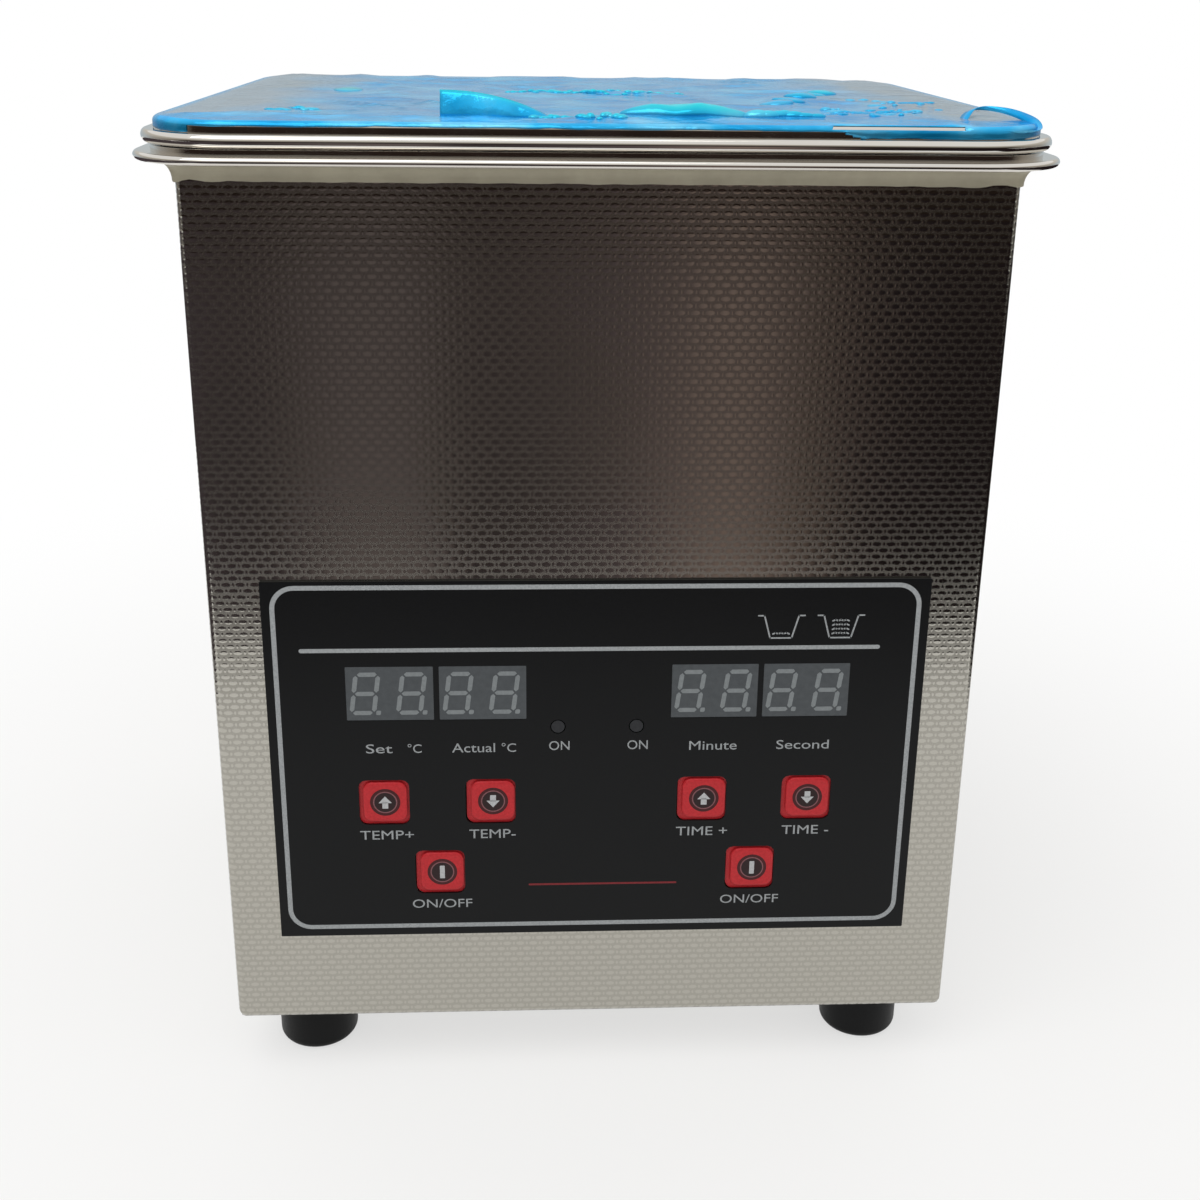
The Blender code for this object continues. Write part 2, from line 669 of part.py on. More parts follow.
def build_feet():
    """Turned rubber feet with a counterbore, and the screws that hold them and the base plate."""
    seat_z = FOOT_HEIGHT - FOOT_SEAT_THICKNESS
    bore = (FOOT_SCREW_DIAMETER + SCREW_HOLE_SPARE) / 2
    counterbore = FOOT_SCREW_HEAD_DIAMETER / 2 + 2 * SEAT_GAP
    top = FOOT_TOP_DIAMETER / 2
    waist = FOOT_WAIST_DIAMETER / 2
    foot = [(bore, FOOT_HEIGHT), (top, FOOT_HEIGHT), (top, FOOT_HEIGHT - FOOT_COLLAR)]
    for angle in arc(0, 90, FILLET_STEPS):
        reach = waist - FOOT_EDGE_ROUND * (1 - math.cos(angle))
        foot.append((reach, FOOT_EDGE_ROUND * (1 - math.sin(angle))))
    foot += [(counterbore, 0.0), (counterbore, seat_z), (bore, seat_z)]
    shank = FOOT_SCREW_DIAMETER / 2
    head = FOOT_SCREW_HEAD_DIAMETER / 2
    head_top = seat_z - SEAT_GAP
    head_bottom = head_top - FOOT_SCREW_HEAD_HEIGHT
    tip = BASE_TOP + FOOT_SCREW_SPARE
    screw = [
        (0.0, tip),
        (shank, tip),
        (shank, head_top),
        (head, head_top),
        (head, (head_top + head_bottom) / 2),
        (shank, head_bottom),
        (0.0, head_bottom),
    ]
    for corner, (x, y) in FOOT_PLACES.items():
        add_turned(f"foot_{corner}", foot, BLACK_RUBBER, CASE_DATUM, (x, y, 0.0), closed=True)
        add_turned(f"foot_screw_{corner}", screw, PLATED_STEEL, CASE_DATUM, (x, y, 0.0), steps=SMALL_ROUND_STEPS)


def build_transducer():
    """Bolt, back mass, piezo rings, electrode and front mass, stacked under the tank."""
    bore = (BOLT_DIAMETER + BOLT_BORE_SPARE) / 2
    ring_bore = RING_BORE / 2
    ring = RING_DIAMETER / 2

    def washer(outer, inner, low, thickness):
        return [(inner, low + thickness), (outer, low + thickness), (outer, low), (inner, low)]

    hole_top = FRONT_MASS_BOTTOM + BOLT_GRIP + BOLT_TIP_CLEARANCE
    front_mass_top = FRONT_MASS_BOTTOM + FRONT_MASS_LENGTH
    front_mass = [
        (0.0, front_mass_top),
        (FRONT_MASS_DIAMETER / 2, front_mass_top),
        (FRONT_MASS_DIAMETER / 2, front_mass_top - FRONT_MASS_FACE),
        (FRONT_MASS_NECK / 2, FRONT_MASS_BOTTOM),
        (bore, FRONT_MASS_BOTTOM),
        (bore, hole_top),
        (0.0, hole_top),
    ]
    bolt_tip = FRONT_MASS_BOTTOM + BOLT_GRIP
    head_top = BOLT_HEAD_BOTTOM + BOLT_HEAD_HEIGHT
    socket_top = BOLT_HEAD_BOTTOM + BOLT_SOCKET_DEPTH
    bolt = [
        (0.0, bolt_tip),
        (BOLT_DIAMETER / 2, bolt_tip),
        (BOLT_DIAMETER / 2, head_top),
        (BOLT_HEAD_DIAMETER / 2, head_top),
        (BOLT_HEAD_DIAMETER / 2, BOLT_HEAD_BOTTOM),
        (BOLT_SOCKET_DIAMETER / 2, BOLT_HEAD_BOTTOM),
        (BOLT_SOCKET_DIAMETER / 2, socket_top),
        (0.0, socket_top),
    ]
    back_mass = washer(BACK_MASS_DIAMETER / 2, bore, BACK_MASS_BOTTOM, BACK_MASS_LENGTH)
    lower_ring = washer(ring, ring_bore, LOWER_RING_BOTTOM, RING_THICKNESS)
    electrode = washer(ring + ELECTRODE_LIP, ring_bore, ELECTRODE_BOTTOM, ELECTRODE_THICKNESS)
    upper_ring = washer(ring, ring_bore, UPPER_RING_BOTTOM, RING_THICKNESS)
    add_turned("transducer_front_mass", front_mass, ALUMINIUM, CASE_DATUM)
    add_turned("transducer_bolt", bolt, PLATED_STEEL, CASE_DATUM)
    add_turned("transducer_back_mass", back_mass, PLATED_STEEL, CASE_DATUM, closed=True)
    add_turned("piezo_ring_lower", lower_ring, PIEZO_CERAMIC, CASE_DATUM, closed=True)
    add_turned("transducer_electrode", electrode, COPPER, CASE_DATUM, closed=True)
    add_turned("piezo_ring_upper", upper_ring, PIEZO_CERAMIC, CASE_DATUM, closed=True)


def build_tank_heater():
    """Heater pad on the tank's rear wall, and the sensor and cut-out under its floor."""
    pad_y = MOUTH_Y + SHEET + GLUE_LINE + HEATER_THICKNESS / 2
    pad_bottom = LEDGE_TOP - TANK_DEPTH + TANK_FLOOR_FILLET + HEATER_ABOVE_FILLET
    bm = bmesh.new()
    add_box(bm, (0.0, pad_y, pad_bottom + HEATER_HEIGHT / 2), (HEATER_WIDTH, HEATER_THICKNESS, HEATER_HEIGHT))
    add_part("heater_pad", bm, RED_SILICONE, CASE_DATUM)
    top = -GLUE_LINE
    sensor = [
        (0.0, top),
        (SENSOR_FLANGE_DIAMETER / 2, top),
        (SENSOR_FLANGE_DIAMETER / 2, top - SENSOR_FLANGE),
        (SENSOR_DIAMETER / 2, top - SENSOR_FLANGE),
        (SENSOR_DIAMETER / 2, top - SENSOR_LENGTH),
        (0.0, top - SENSOR_LENGTH),
    ]
    sensor_place = (-SENSOR_SIDE, SENSOR_REAR, TANK_BOTTOM)
    add_turned("temperature_sensor", sensor, ALUMINIUM, CASE_DATUM, sensor_place, steps=SMALL_ROUND_STEPS)
    body_bottom = top - CUTOUT_LENGTH
    cutout = [
        (0.0, top),
        (CUTOUT_DIAMETER / 2, top),
        (CUTOUT_DIAMETER / 2, top - CUTOUT_CAP),
        (CUTOUT_BODY_DIAMETER / 2, top - CUTOUT_CAP),
        (CUTOUT_BODY_DIAMETER / 2, body_bottom),
        (0.0, body_bottom),
    ]
    place = (SENSOR_SIDE, SENSOR_REAR, TANK_BOTTOM)
    body = add_turned("thermal_cutout", cutout, BLACK_PLASTIC, CASE_DATUM, place, steps=SMALL_ROUND_STEPS)
    blades = bmesh.new()
    for side in (-1, 1):
        centre = (SENSOR_SIDE + side * BLADE_SPACING / 2, SENSOR_REAR, TANK_BOTTOM + body_bottom)
        add_box(blades, centre, (BLADE_THICKNESS, BLADE_WIDTH, BLADE_LENGTH))
    join(body, add_tool("cutout_blades", blades, CASE_DATUM))


def build_driver_board():
    """Generator board on the base plate, with its three large parts."""
    bm = bmesh.new()
    add_plate(bm, DRIVER_X, DRIVER_Y, DRIVER_WIDTH, DRIVER_LENGTH, DRIVER_BOTTOM, DRIVER_TOP)
    board = add_part("driver_board", bm, GREEN_BOARD, CASE_DATUM)
    holes = bmesh.new()
    for x, y in STANDOFF_PLACES:
        hole = STANDOFF_PIN_DIAMETER + 2 * SEAT_GAP
        add_rod(holes, x, y, DRIVER_BOTTOM - BOARD_THICKNESS, DRIVER_TOP + BOARD_THICKNESS, hole)
    cut(board, add_tool("driver_holes", holes, CASE_DATUM))
    build_transformer()
    build_heat_sink()
    build_capacitor()


def build_transformer():
    """Ferrite core with its wound bobbin."""
    seat = DRIVER_TOP + SEAT_GAP
    x = DRIVER_X - DRIVER_WIDTH / 2 + PART_EDGE_GAP + CORE_WIDTH / 2
    middle = seat + CORE_HEIGHT / 2
    bm = bmesh.new()
    add_box(bm, (x, DRIVER_Y, middle), (CORE_WIDTH, CORE_LENGTH, CORE_HEIGHT))
    core = add_part("transformer", bm, DARK_FERRITE, CASE_DATUM)
    coil = bmesh.new()
    add_rod(coil, x, DRIVER_Y, middle - COIL_HEIGHT / 2, middle + COIL_HEIGHT / 2, COIL_DIAMETER)
    join(core, add_tool("transformer_coil", coil, CASE_DATUM))


def build_heat_sink():
    """Extruded comb of fins standing along the board's rear edge."""
    seat = DRIVER_TOP + SEAT_GAP
    x = DRIVER_X + DRIVER_WIDTH / 2 - PART_EDGE_GAP - SINK_WIDTH / 2
    back_y = DRIVER_Y + DRIVER_LENGTH / 2 - PART_EDGE_GAP
    middle = seat + SINK_HEIGHT / 2
    bm = bmesh.new()
    add_box(bm, (x, back_y - SINK_BACK / 2, middle), (SINK_WIDTH, SINK_BACK, SINK_HEIGHT))
    sink = add_part("heat_sink", bm, ALUMINIUM, CASE_DATUM)
    fins = bmesh.new()
    pitch = (SINK_WIDTH - FIN_THICKNESS) / (FIN_COUNT - 1)
    root = back_y - SINK_BACK / 2
    reach = FIN_LENGTH + SINK_BACK / 2
    for fin in range(FIN_COUNT):
        fin_x = x + (fin - (FIN_COUNT - 1) / 2) * pitch
        add_box(fins, (fin_x, root - reach / 2, middle), (FIN_THICKNESS, reach, SINK_HEIGHT))
    join(sink, add_tool("heat_sink_fins", fins, CASE_DATUM))


def build_capacitor():
    """Sleeved electrolytic can with its crimp groove."""
    radius = CAPACITOR_DIAMETER / 2
    groove = radius - CAPACITOR_GROOVE
    can = [
        (0.0, CAPACITOR_HEIGHT),
        (groove, CAPACITOR_HEIGHT),
        (radius, CAPACITOR_HEIGHT - CAPACITOR_GROOVE),
        (radius, 4 * CAPACITOR_GROOVE),
        (groove, 3 * CAPACITOR_GROOVE),
        (radius, 2 * CAPACITOR_GROOVE),
        (radius, 0.0),
        (0.0, 0.0),
    ]
    x = DRIVER_X + DRIVER_WIDTH / 2 - PART_EDGE_GAP - SINK_WIDTH / 2
    y = DRIVER_Y - DRIVER_LENGTH / 2 + PART_EDGE_GAP + radius
    add_turned("capacitor", can, BLUE_SLEEVE, CASE_DATUM, (x, y, DRIVER_TOP + SEAT_GAP))


def inlet_screw_places():
    """Screw positions across the inlet's ears, in the rear wall's frame."""
    reach = INLET_BODY_WIDTH / 2 + INLET_EAR / 2
    return {"left": -INLET_X - reach, "right": -INLET_X + reach}


def build_mains_inlet():
    """Three-pin appliance inlet: flange outside the wall, body and tabs inside."""
    face = SEAT_GAP + INLET_FLANGE
    back = -INLET_BODY_DEPTH
    flange_width = INLET_BODY_WIDTH + 2 * INLET_EAR
    flange_height = INLET_BODY_HEIGHT + 2 * INLET_FLANGE_LIP
    y = INLET_ABOVE_BASE
    bm = bmesh.new()
    body_section = (INLET_BODY_WIDTH / 2, INLET_BODY_HEIGHT / 2, INLET_BODY_CORNER)
    flange_section = (flange_width / 2, flange_height / 2, flange_height / 3)
    sections = [
        Section(*flange_section, face),
        Section(*flange_section, SEAT_GAP),
        Section(*body_section, SEAT_GAP),
        Section(*body_section, back),
    ]
    add_loft(bm, sections, -INLET_X, y, FILLET_STEPS)
    inlet = add_part("mains_inlet", bm, BLACK_PLASTIC, REAR_DATUM)
    recess = bmesh.new()
    recess_width = INLET_BODY_WIDTH - 2 * INLET_WALL
    recess_height = INLET_BODY_HEIGHT - 2 * INLET_WALL
    floor = back + INLET_FLOOR
    add_plate(recess, -INLET_X, y, recess_width, recess_height, floor, face + INLET_FLANGE, INLET_BODY_CORNER)
    for x in inlet_screw_places().values():
        add_rod(recess, x, y, -INLET_FLANGE, face + INLET_FLANGE, INLET_SCREW_DIAMETER + SCREW_HOLE_SPARE)
    cut(inlet, add_tool("inlet_recess", recess, REAR_DATUM))
    pins = bmesh.new()
    tip = face - INLET_PIN_RECESS
    tail = back - BLADE_LENGTH
    for step, rise in ((-1, 0.0), (0, INLET_EARTH_RISE), (1, 0.0)):
        centre = (-INLET_X + step * INLET_PIN_SPACING, y + rise, (tip + tail) / 2)
        add_box(pins, centre, (INLET_PIN_WIDTH, INLET_PIN_HEIGHT, tip - tail))
    join(inlet, add_tool("inlet_pins", pins, REAR_DATUM))
    shank = INLET_SCREW_DIAMETER / 2
    head = INLET_SCREW_HEAD_DIAMETER / 2
    seat = face + SEAT_GAP
    screw = [
        (0.0, seat + INLET_SCREW_HEAD_HEIGHT),
        (shank, seat + INLET_SCREW_HEAD_HEIGHT),
        (head, seat + INLET_SCREW_HEAD_HEIGHT / 2),
        (head, seat),
        (shank, seat),
        (shank, -SHEET - INLET_SCREW_SPARE),
        (0.0, -SHEET - INLET_SCREW_SPARE),
    ]
    for side, x in inlet_screw_places().items():
        add_turned(f"inlet_screw_{side}", screw, PLATED_STEEL, REAR_DATUM, (x, y, 0.0), steps=SMALL_ROUND_STEPS)


def build_front_overlay():
    """Printed film on the front wall, die-cut for displays, lamps and keys."""
    width = 2 * (CASE_X - PANEL_SIDE_MARGIN)
    bm = bmesh.new()
    add_plate(bm, 0.0, 0.0, width, PANEL_HEIGHT, OVERLAY_BACK, OVERLAY_FRONT)
    overlay = add_part("front_overlay", bm, BLACK_OVERLAY, PANEL_DATUM)
    depth = 2 * OVERLAY_THICKNESS
    openings = bmesh.new()
    for x in DISPLAY_PLACES.values():
        window_width = DISPLAY_WIDTH - 2 * WINDOW_LIP
        window_height = DISPLAY_HEIGHT - 2 * WINDOW_LIP
        add_plate(openings, x, DISPLAY_Y, window_width, window_height, -depth, OVERLAY_FRONT + depth)
    for x, y in LAMP_PLACES.values():
        add_rod(openings, x, y, -depth, OVERLAY_FRONT + depth, LAMP_DIAMETER + 2 * SEAT_GAP)
    opening = KEY_SIZE + 2 * SEAT_GAP
    for x, y in KEY_PLACES.values():
        add_plate(openings, x, y, opening, opening, -depth, OVERLAY_FRONT + depth, KEY_CORNER, FILLET_STEPS)
    cut(overlay, add_tool("overlay_openings", openings, PANEL_DATUM))


def build_displays():
    """Two-digit display blocks behind the overlay's windows."""
    for name, x in DISPLAY_PLACES.items():
        bm = bmesh.new()
        back = DISPLAY_FRONT - DISPLAY_DEPTH
        add_plate(bm, 0.0, 0.0, DISPLAY_WIDTH, DISPLAY_HEIGHT, back, DISPLAY_FRONT)
        add_part(f"display_{name}", bm, GREY_DISPLAY, PANEL_DATUM, (x, DISPLAY_Y, 0.0))


def build_lamps():
    """Round indicator lamps standing on the control board."""
    radius = LAMP_DIAMETER / 2
    tip = OVERLAY_FRONT - LAMP_SINK
    dome = [
        (radius * math.sin(angle), tip - radius * (1 - math.cos(angle)))
        for angle in arc(0, 90, FILLET_STEPS)
    ]
    dome[0] = (0.0, tip)
    foot = BOARD_FRONT + GLUE_LINE
    flange = radius + LAMP_FLANGE
    profile = dome + [
        (radius, foot + LAMP_FLANGE_LENGTH),
        (flange, foot + LAMP_FLANGE_LENGTH),
        (flange, foot),
        (0.0, foot),
    ]
    for name, (x, y) in LAMP_PLACES.items():
        add_turned(f"lamp_{name}", profile, DARK_LENS, PANEL_DATUM, (x, y, 0.0), steps=SMALL_ROUND_STEPS)


def build_keys():
    """Key caps trapped behind the overlay, each with a plunger into its switch."""
    pad = KEY_SIZE / 2
    lip = pad + KEY_LIP
    front = OVERLAY_FRONT + KEY_PROUD
    cap = [
        Section(pad - KEY_EDGE_ROUND, pad - KEY_EDGE_ROUND, KEY_CORNER - KEY_EDGE_ROUND, front),
        Section(pad, pad, KEY_CORNER, front - KEY_EDGE_ROUND),
        Section(pad, pad, KEY_CORNER, KEY_LIP_FRONT),
        Section(lip, lip, KEY_CORNER, KEY_LIP_FRONT),
        Section(lip, lip, KEY_CORNER, KEY_BACK),
    ]
    hole_bottom = SWITCH_FRONT - PLUNGER_ENGAGED - KEY_TRAVEL - SWITCH_STOP
    for name, (x, y) in KEY_PLACES.items():
        key = bmesh.new()
        add_loft(key, cap, steps=FILLET_STEPS)
        add_part(f"key_{name}", key, RED_KEY, PANEL_DATUM, (x, y, 0.0))
        plunger = bmesh.new()
        add_rod(plunger, 0.0, 0.0, SWITCH_FRONT - PLUNGER_ENGAGED, KEY_BACK - GLUE_LINE, PLUNGER_DIAMETER)
        add_part(f"plunger_{name}", plunger, BLACK_PLASTIC, PANEL_DATUM, (x, y, 0.0))
        body = bmesh.new()
        add_plate(body, 0.0, 0.0, SWITCH_SIZE, SWITCH_SIZE, SWITCH_BACK, SWITCH_FRONT)
        switch = add_part(f"switch_{name}", body, BLACK_PLASTIC, PANEL_DATUM, (x, y, 0.0))
        hole = bmesh.new()
        add_rod(hole, x, y, hole_bottom, SWITCH_FRONT + SWITCH_STOP, PLUNGER_DIAMETER + 2 * SEAT_GAP)
        cut(switch, add_tool(f"switch_hole_{name}", hole, PANEL_DATUM))


def build_control_board():
    """Board behind the panel, carried on the front wall's studs."""
    top = DISPLAY_TOP_Y + BOARD_MARGIN
    bottom = POWER_ROW_Y - BOARD_SKIRT
    width = 2 * (STUD_X + BOARD_EDGE)
    bm = bmesh.new()
    add_plate(bm, 0.0, (top + bottom) / 2, width, top - bottom, BOARD_BACK, BOARD_FRONT)
    board = add_part("control_board", bm, GREEN_BOARD, PANEL_DATUM)
    holes = bmesh.new()
    for x, y in STUD_PLACES:
        hole = STUD_PIN_DIAMETER + 2 * SEAT_GAP
        add_rod(holes, x, y, BOARD_BACK - BOARD_THICKNESS, BOARD_FRONT + BOARD_THICKNESS, hole)
    cut(board, add_tool("control_board_holes", holes, PANEL_DATUM))


def lid_section(offset, z):
    """Section of the lid, concentric with its wall's outer face, in the lid's own frame."""
    return Section(
        MOUTH_X + LID_WALL_OFFSET + offset,
        MOUTH_Y + LID_WALL_OFFSET + offset,
        LID_CORNER + offset,
        z,
    )


def lid_crown(skin):
    """Shoulder sections of the lid from its top down, on a face at the given offset."""
    radius = LID_SHOULDER + skin
    centre = LID_RISE - LID_SHOULDER
    return [
        lid_section(radius * math.cos(angle) - LID_SHOULDER, centre + radius * math.sin(angle))
        for angle in arc(90, 0, FILLET_STEPS)
    ]


def build_lid():
    """Pressed tray upside down, with a hem that bears on the ledge."""
    hem_middle = LID_HEM_HEIGHT / 2
    hem = [
        lid_section(0.0, LID_HEM_HEIGHT),
        lid_section(LID_HEM_WIDTH - LID_EDGE_ROUND, LID_HEM_HEIGHT),
        lid_section(LID_HEM_WIDTH, LID_HEM_HEIGHT - LID_EDGE_ROUND),
        lid_section(LID_HEM_WIDTH, hem_middle),
        lid_section(LID_HEM_WIDTH, LID_EDGE_ROUND),
        lid_section(LID_HEM_WIDTH - LID_EDGE_ROUND, 0.0),
        lid_section(-SHEET, 0.0),
    ]
    bm = bmesh.new()
    add_loft(bm, lid_crown(0.0) + hem + lid_crown(-SHEET)[::-1])
    add_part("lid", bm, POLISHED_STEEL, LID_DATUM)


def build_protective_film():
    """Transit film stuck over the lid's top and round its wall."""
    inner = GLUE_LINE
    outer = GLUE_LINE + FILM_THICKNESS
    bottom = LID_HEM_HEIGHT + SEAT_GAP
    skirt = [
        lid_section(outer, bottom),
        lid_section(inner, bottom),
    ]
    bm = bmesh.new()
    add_loft(bm, lid_crown(outer)[:-1] + skirt + lid_crown(inner)[:-1][::-1])
    add_part("protective_film", bm, BLUE_FILM, LID_DATUM)


def main():
    """Build every piece, from the tank outwards."""
    build_tank()
    build_rim_gasket()
    build_housing_shell()
    build_base_plate()
    build_feet()
    build_transducer()
    build_tank_heater()
    build_driver_board()
    build_mains_inlet()
    build_front_overlay()
    build_displays()
    build_lamps()
    build_keys()
    build_control_board()
    build_lid()
    build_protective_film()


main()
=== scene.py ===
"""Looks of a two-litre bench ultrasonic cleaner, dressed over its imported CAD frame.

Metres, +Z up, front towards -Y, in the frame of the CAD. Every place is read from the CAD nodes'
boxes, and every other size is a field of the class that uses it.
"""

import logging
import math
from dataclasses import dataclass
from enum import Enum

import bmesh
import bpy
from mathutils import Matrix, Vector, geometry, noise


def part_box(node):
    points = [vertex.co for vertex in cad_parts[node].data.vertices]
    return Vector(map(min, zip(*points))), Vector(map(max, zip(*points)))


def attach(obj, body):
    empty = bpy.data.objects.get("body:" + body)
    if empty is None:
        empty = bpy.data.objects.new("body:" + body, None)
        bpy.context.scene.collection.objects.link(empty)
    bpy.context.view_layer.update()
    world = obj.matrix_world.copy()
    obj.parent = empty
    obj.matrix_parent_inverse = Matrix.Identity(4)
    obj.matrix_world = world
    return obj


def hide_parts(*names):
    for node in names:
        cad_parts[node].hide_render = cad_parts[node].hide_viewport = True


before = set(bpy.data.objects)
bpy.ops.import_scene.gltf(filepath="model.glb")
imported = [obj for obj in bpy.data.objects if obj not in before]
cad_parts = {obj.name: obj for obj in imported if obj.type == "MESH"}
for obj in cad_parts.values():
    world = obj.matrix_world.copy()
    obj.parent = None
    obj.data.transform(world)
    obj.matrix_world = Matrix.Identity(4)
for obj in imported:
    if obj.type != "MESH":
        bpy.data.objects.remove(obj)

Vec2 = tuple[float, float]
Vec3 = tuple[float, float, float]
Colour = tuple[float, float, float, float]
Tree = bpy.types.NodeTree
Socket = bpy.types.NodeSocket
Bm = bmesh.types.BMesh
Edges = list[bmesh.types.BMEdge]
Verts = list[bmesh.types.BMVert]

MM = 0.001
NOISE_LOW, NOISE_HIGH = 0.3, 0.7  # where most of a noise lies
MIX_A, MIX_B, MIX_RESULT = 6, 7, 2  # a colour Mix node's own sockets
BRIDGE_LIFT = 0.1
LOG = logging.getLogger("ultrasonic_cleaner")


def linear(code: str) -> Colour:
    """Turn an sRGB hex colour into linear RGBA.

    Args:
        code: colour such as "#C02A30".

    Returns:
        Linear red, green, blue and an alpha of 1.
    """
    parts = [int(code[i : i + 2], 16) / 255 for i in (1, 3, 5)]
    red, green, blue = (c / 12.92 if c <= 0.04045 else ((c + 0.055) / 1.055) ** 2.4 for c in parts)
    return red, green, blue, 1.0


def add_node(tree: Tree, kind: str, inputs: dict | None = None, **settings: object) -> bpy.types.Node:
    """Add a node with its settings, input values and links.

    Args:
        tree: node tree that gets the node.
        kind: node type, such as "ShaderNodeMath".
        inputs: input name or index, to a value or to the socket that feeds it.
        settings: the node's own properties.

    Returns:
        The new node.
    """
    made = tree.nodes.new(kind)
    for name, value in settings.items():
        setattr(made, name, value)
    for key, value in (inputs or {}).items():
        if isinstance(value, Socket):
            tree.links.new(value, made.inputs[key])
        else:
            made.inputs[key].default_value = value
    return made


@dataclass(frozen=True)
class Finish:
    """One real material; a subclass adds the nodes that give its look."""

    name: str

    def dress(self, tree: Tree, shader: bpy.types.Node) -> None:
        """Set the shader and link the pattern nodes.

        Args:
            tree: the material's node tree.
            shader: its Principled BSDF.
        """
        raise NotImplementedError

    def material(self) -> bpy.types.Material:
        """Return the material, made on its first use."""
        found = bpy.data.materials.get(self.name)
        if found:
            return found
        made = bpy.data.materials.new(self.name)
        made.use_nodes = True
        self.dress(made.node_tree, made.node_tree.nodes["Principled BSDF"])
        return made


@dataclass(frozen=True)
class MottledFinish(Finish):
    """A solid material whose colour, gloss and surface vary a little with its grain."""

    dark: str
    light: str
    grain_mm: float
    bump_mm: float
    roughness: Vec2 = (0.4, 0.55)
    metallic: float = 0.0
    specular: float = 0.5
    stretch: Vec3 = (1.0, 1.0, 1.0)

    def dress(self, tree: Tree, shader: bpy.types.Node) -> None:
        """Feed colour, roughness and bump from one noise at the grain's size."""
        place = add_node(tree, "ShaderNodeTexCoord").outputs["Object"]
        drawn = add_node(tree, "ShaderNodeMapping", {"Vector": place, "Scale": self.stretch}).outputs[0]
        grain = add_node(
            tree,
            "ShaderNodeTexNoise",
            {"Vector": drawn, "Scale": 1 / (self.grain_mm * MM), "Detail": 4.0, "Roughness": 0.6},
        ).outputs["Fac"]
        colour = add_node(tree, "ShaderNodeValToRGB", {"Fac": grain})
        stops = ((NOISE_LOW, self.dark), (NOISE_HIGH, self.light))
        for stop, (along, code) in zip(colour.color_ramp.elements, stops):
            stop.position = along
            stop.color = linear(code)
        gloss = add_node(
            tree,
            "ShaderNodeMapRange",
            {"Value": grain, "From Min": NOISE_LOW, "From Max": NOISE_HIGH, "To Min": self.roughness[0],
             "To Max": self.roughness[1]},
        )
        bump = add_node(tree, "ShaderNodeBump", {"Height": grain, "Distance": self.bump_mm * MM})
        tree.links.new(colour.outputs["Color"], shader.inputs["Base Color"])
        tree.links.new(gloss.outputs["Result"], shader.inputs["Roughness"])
        tree.links.new(bump.outputs["Normal"], shader.inputs["Normal"])
        shader.inputs["Metallic"].default_value = self.metallic
        shader.inputs["Specular IOR Level"].default_value = self.specular


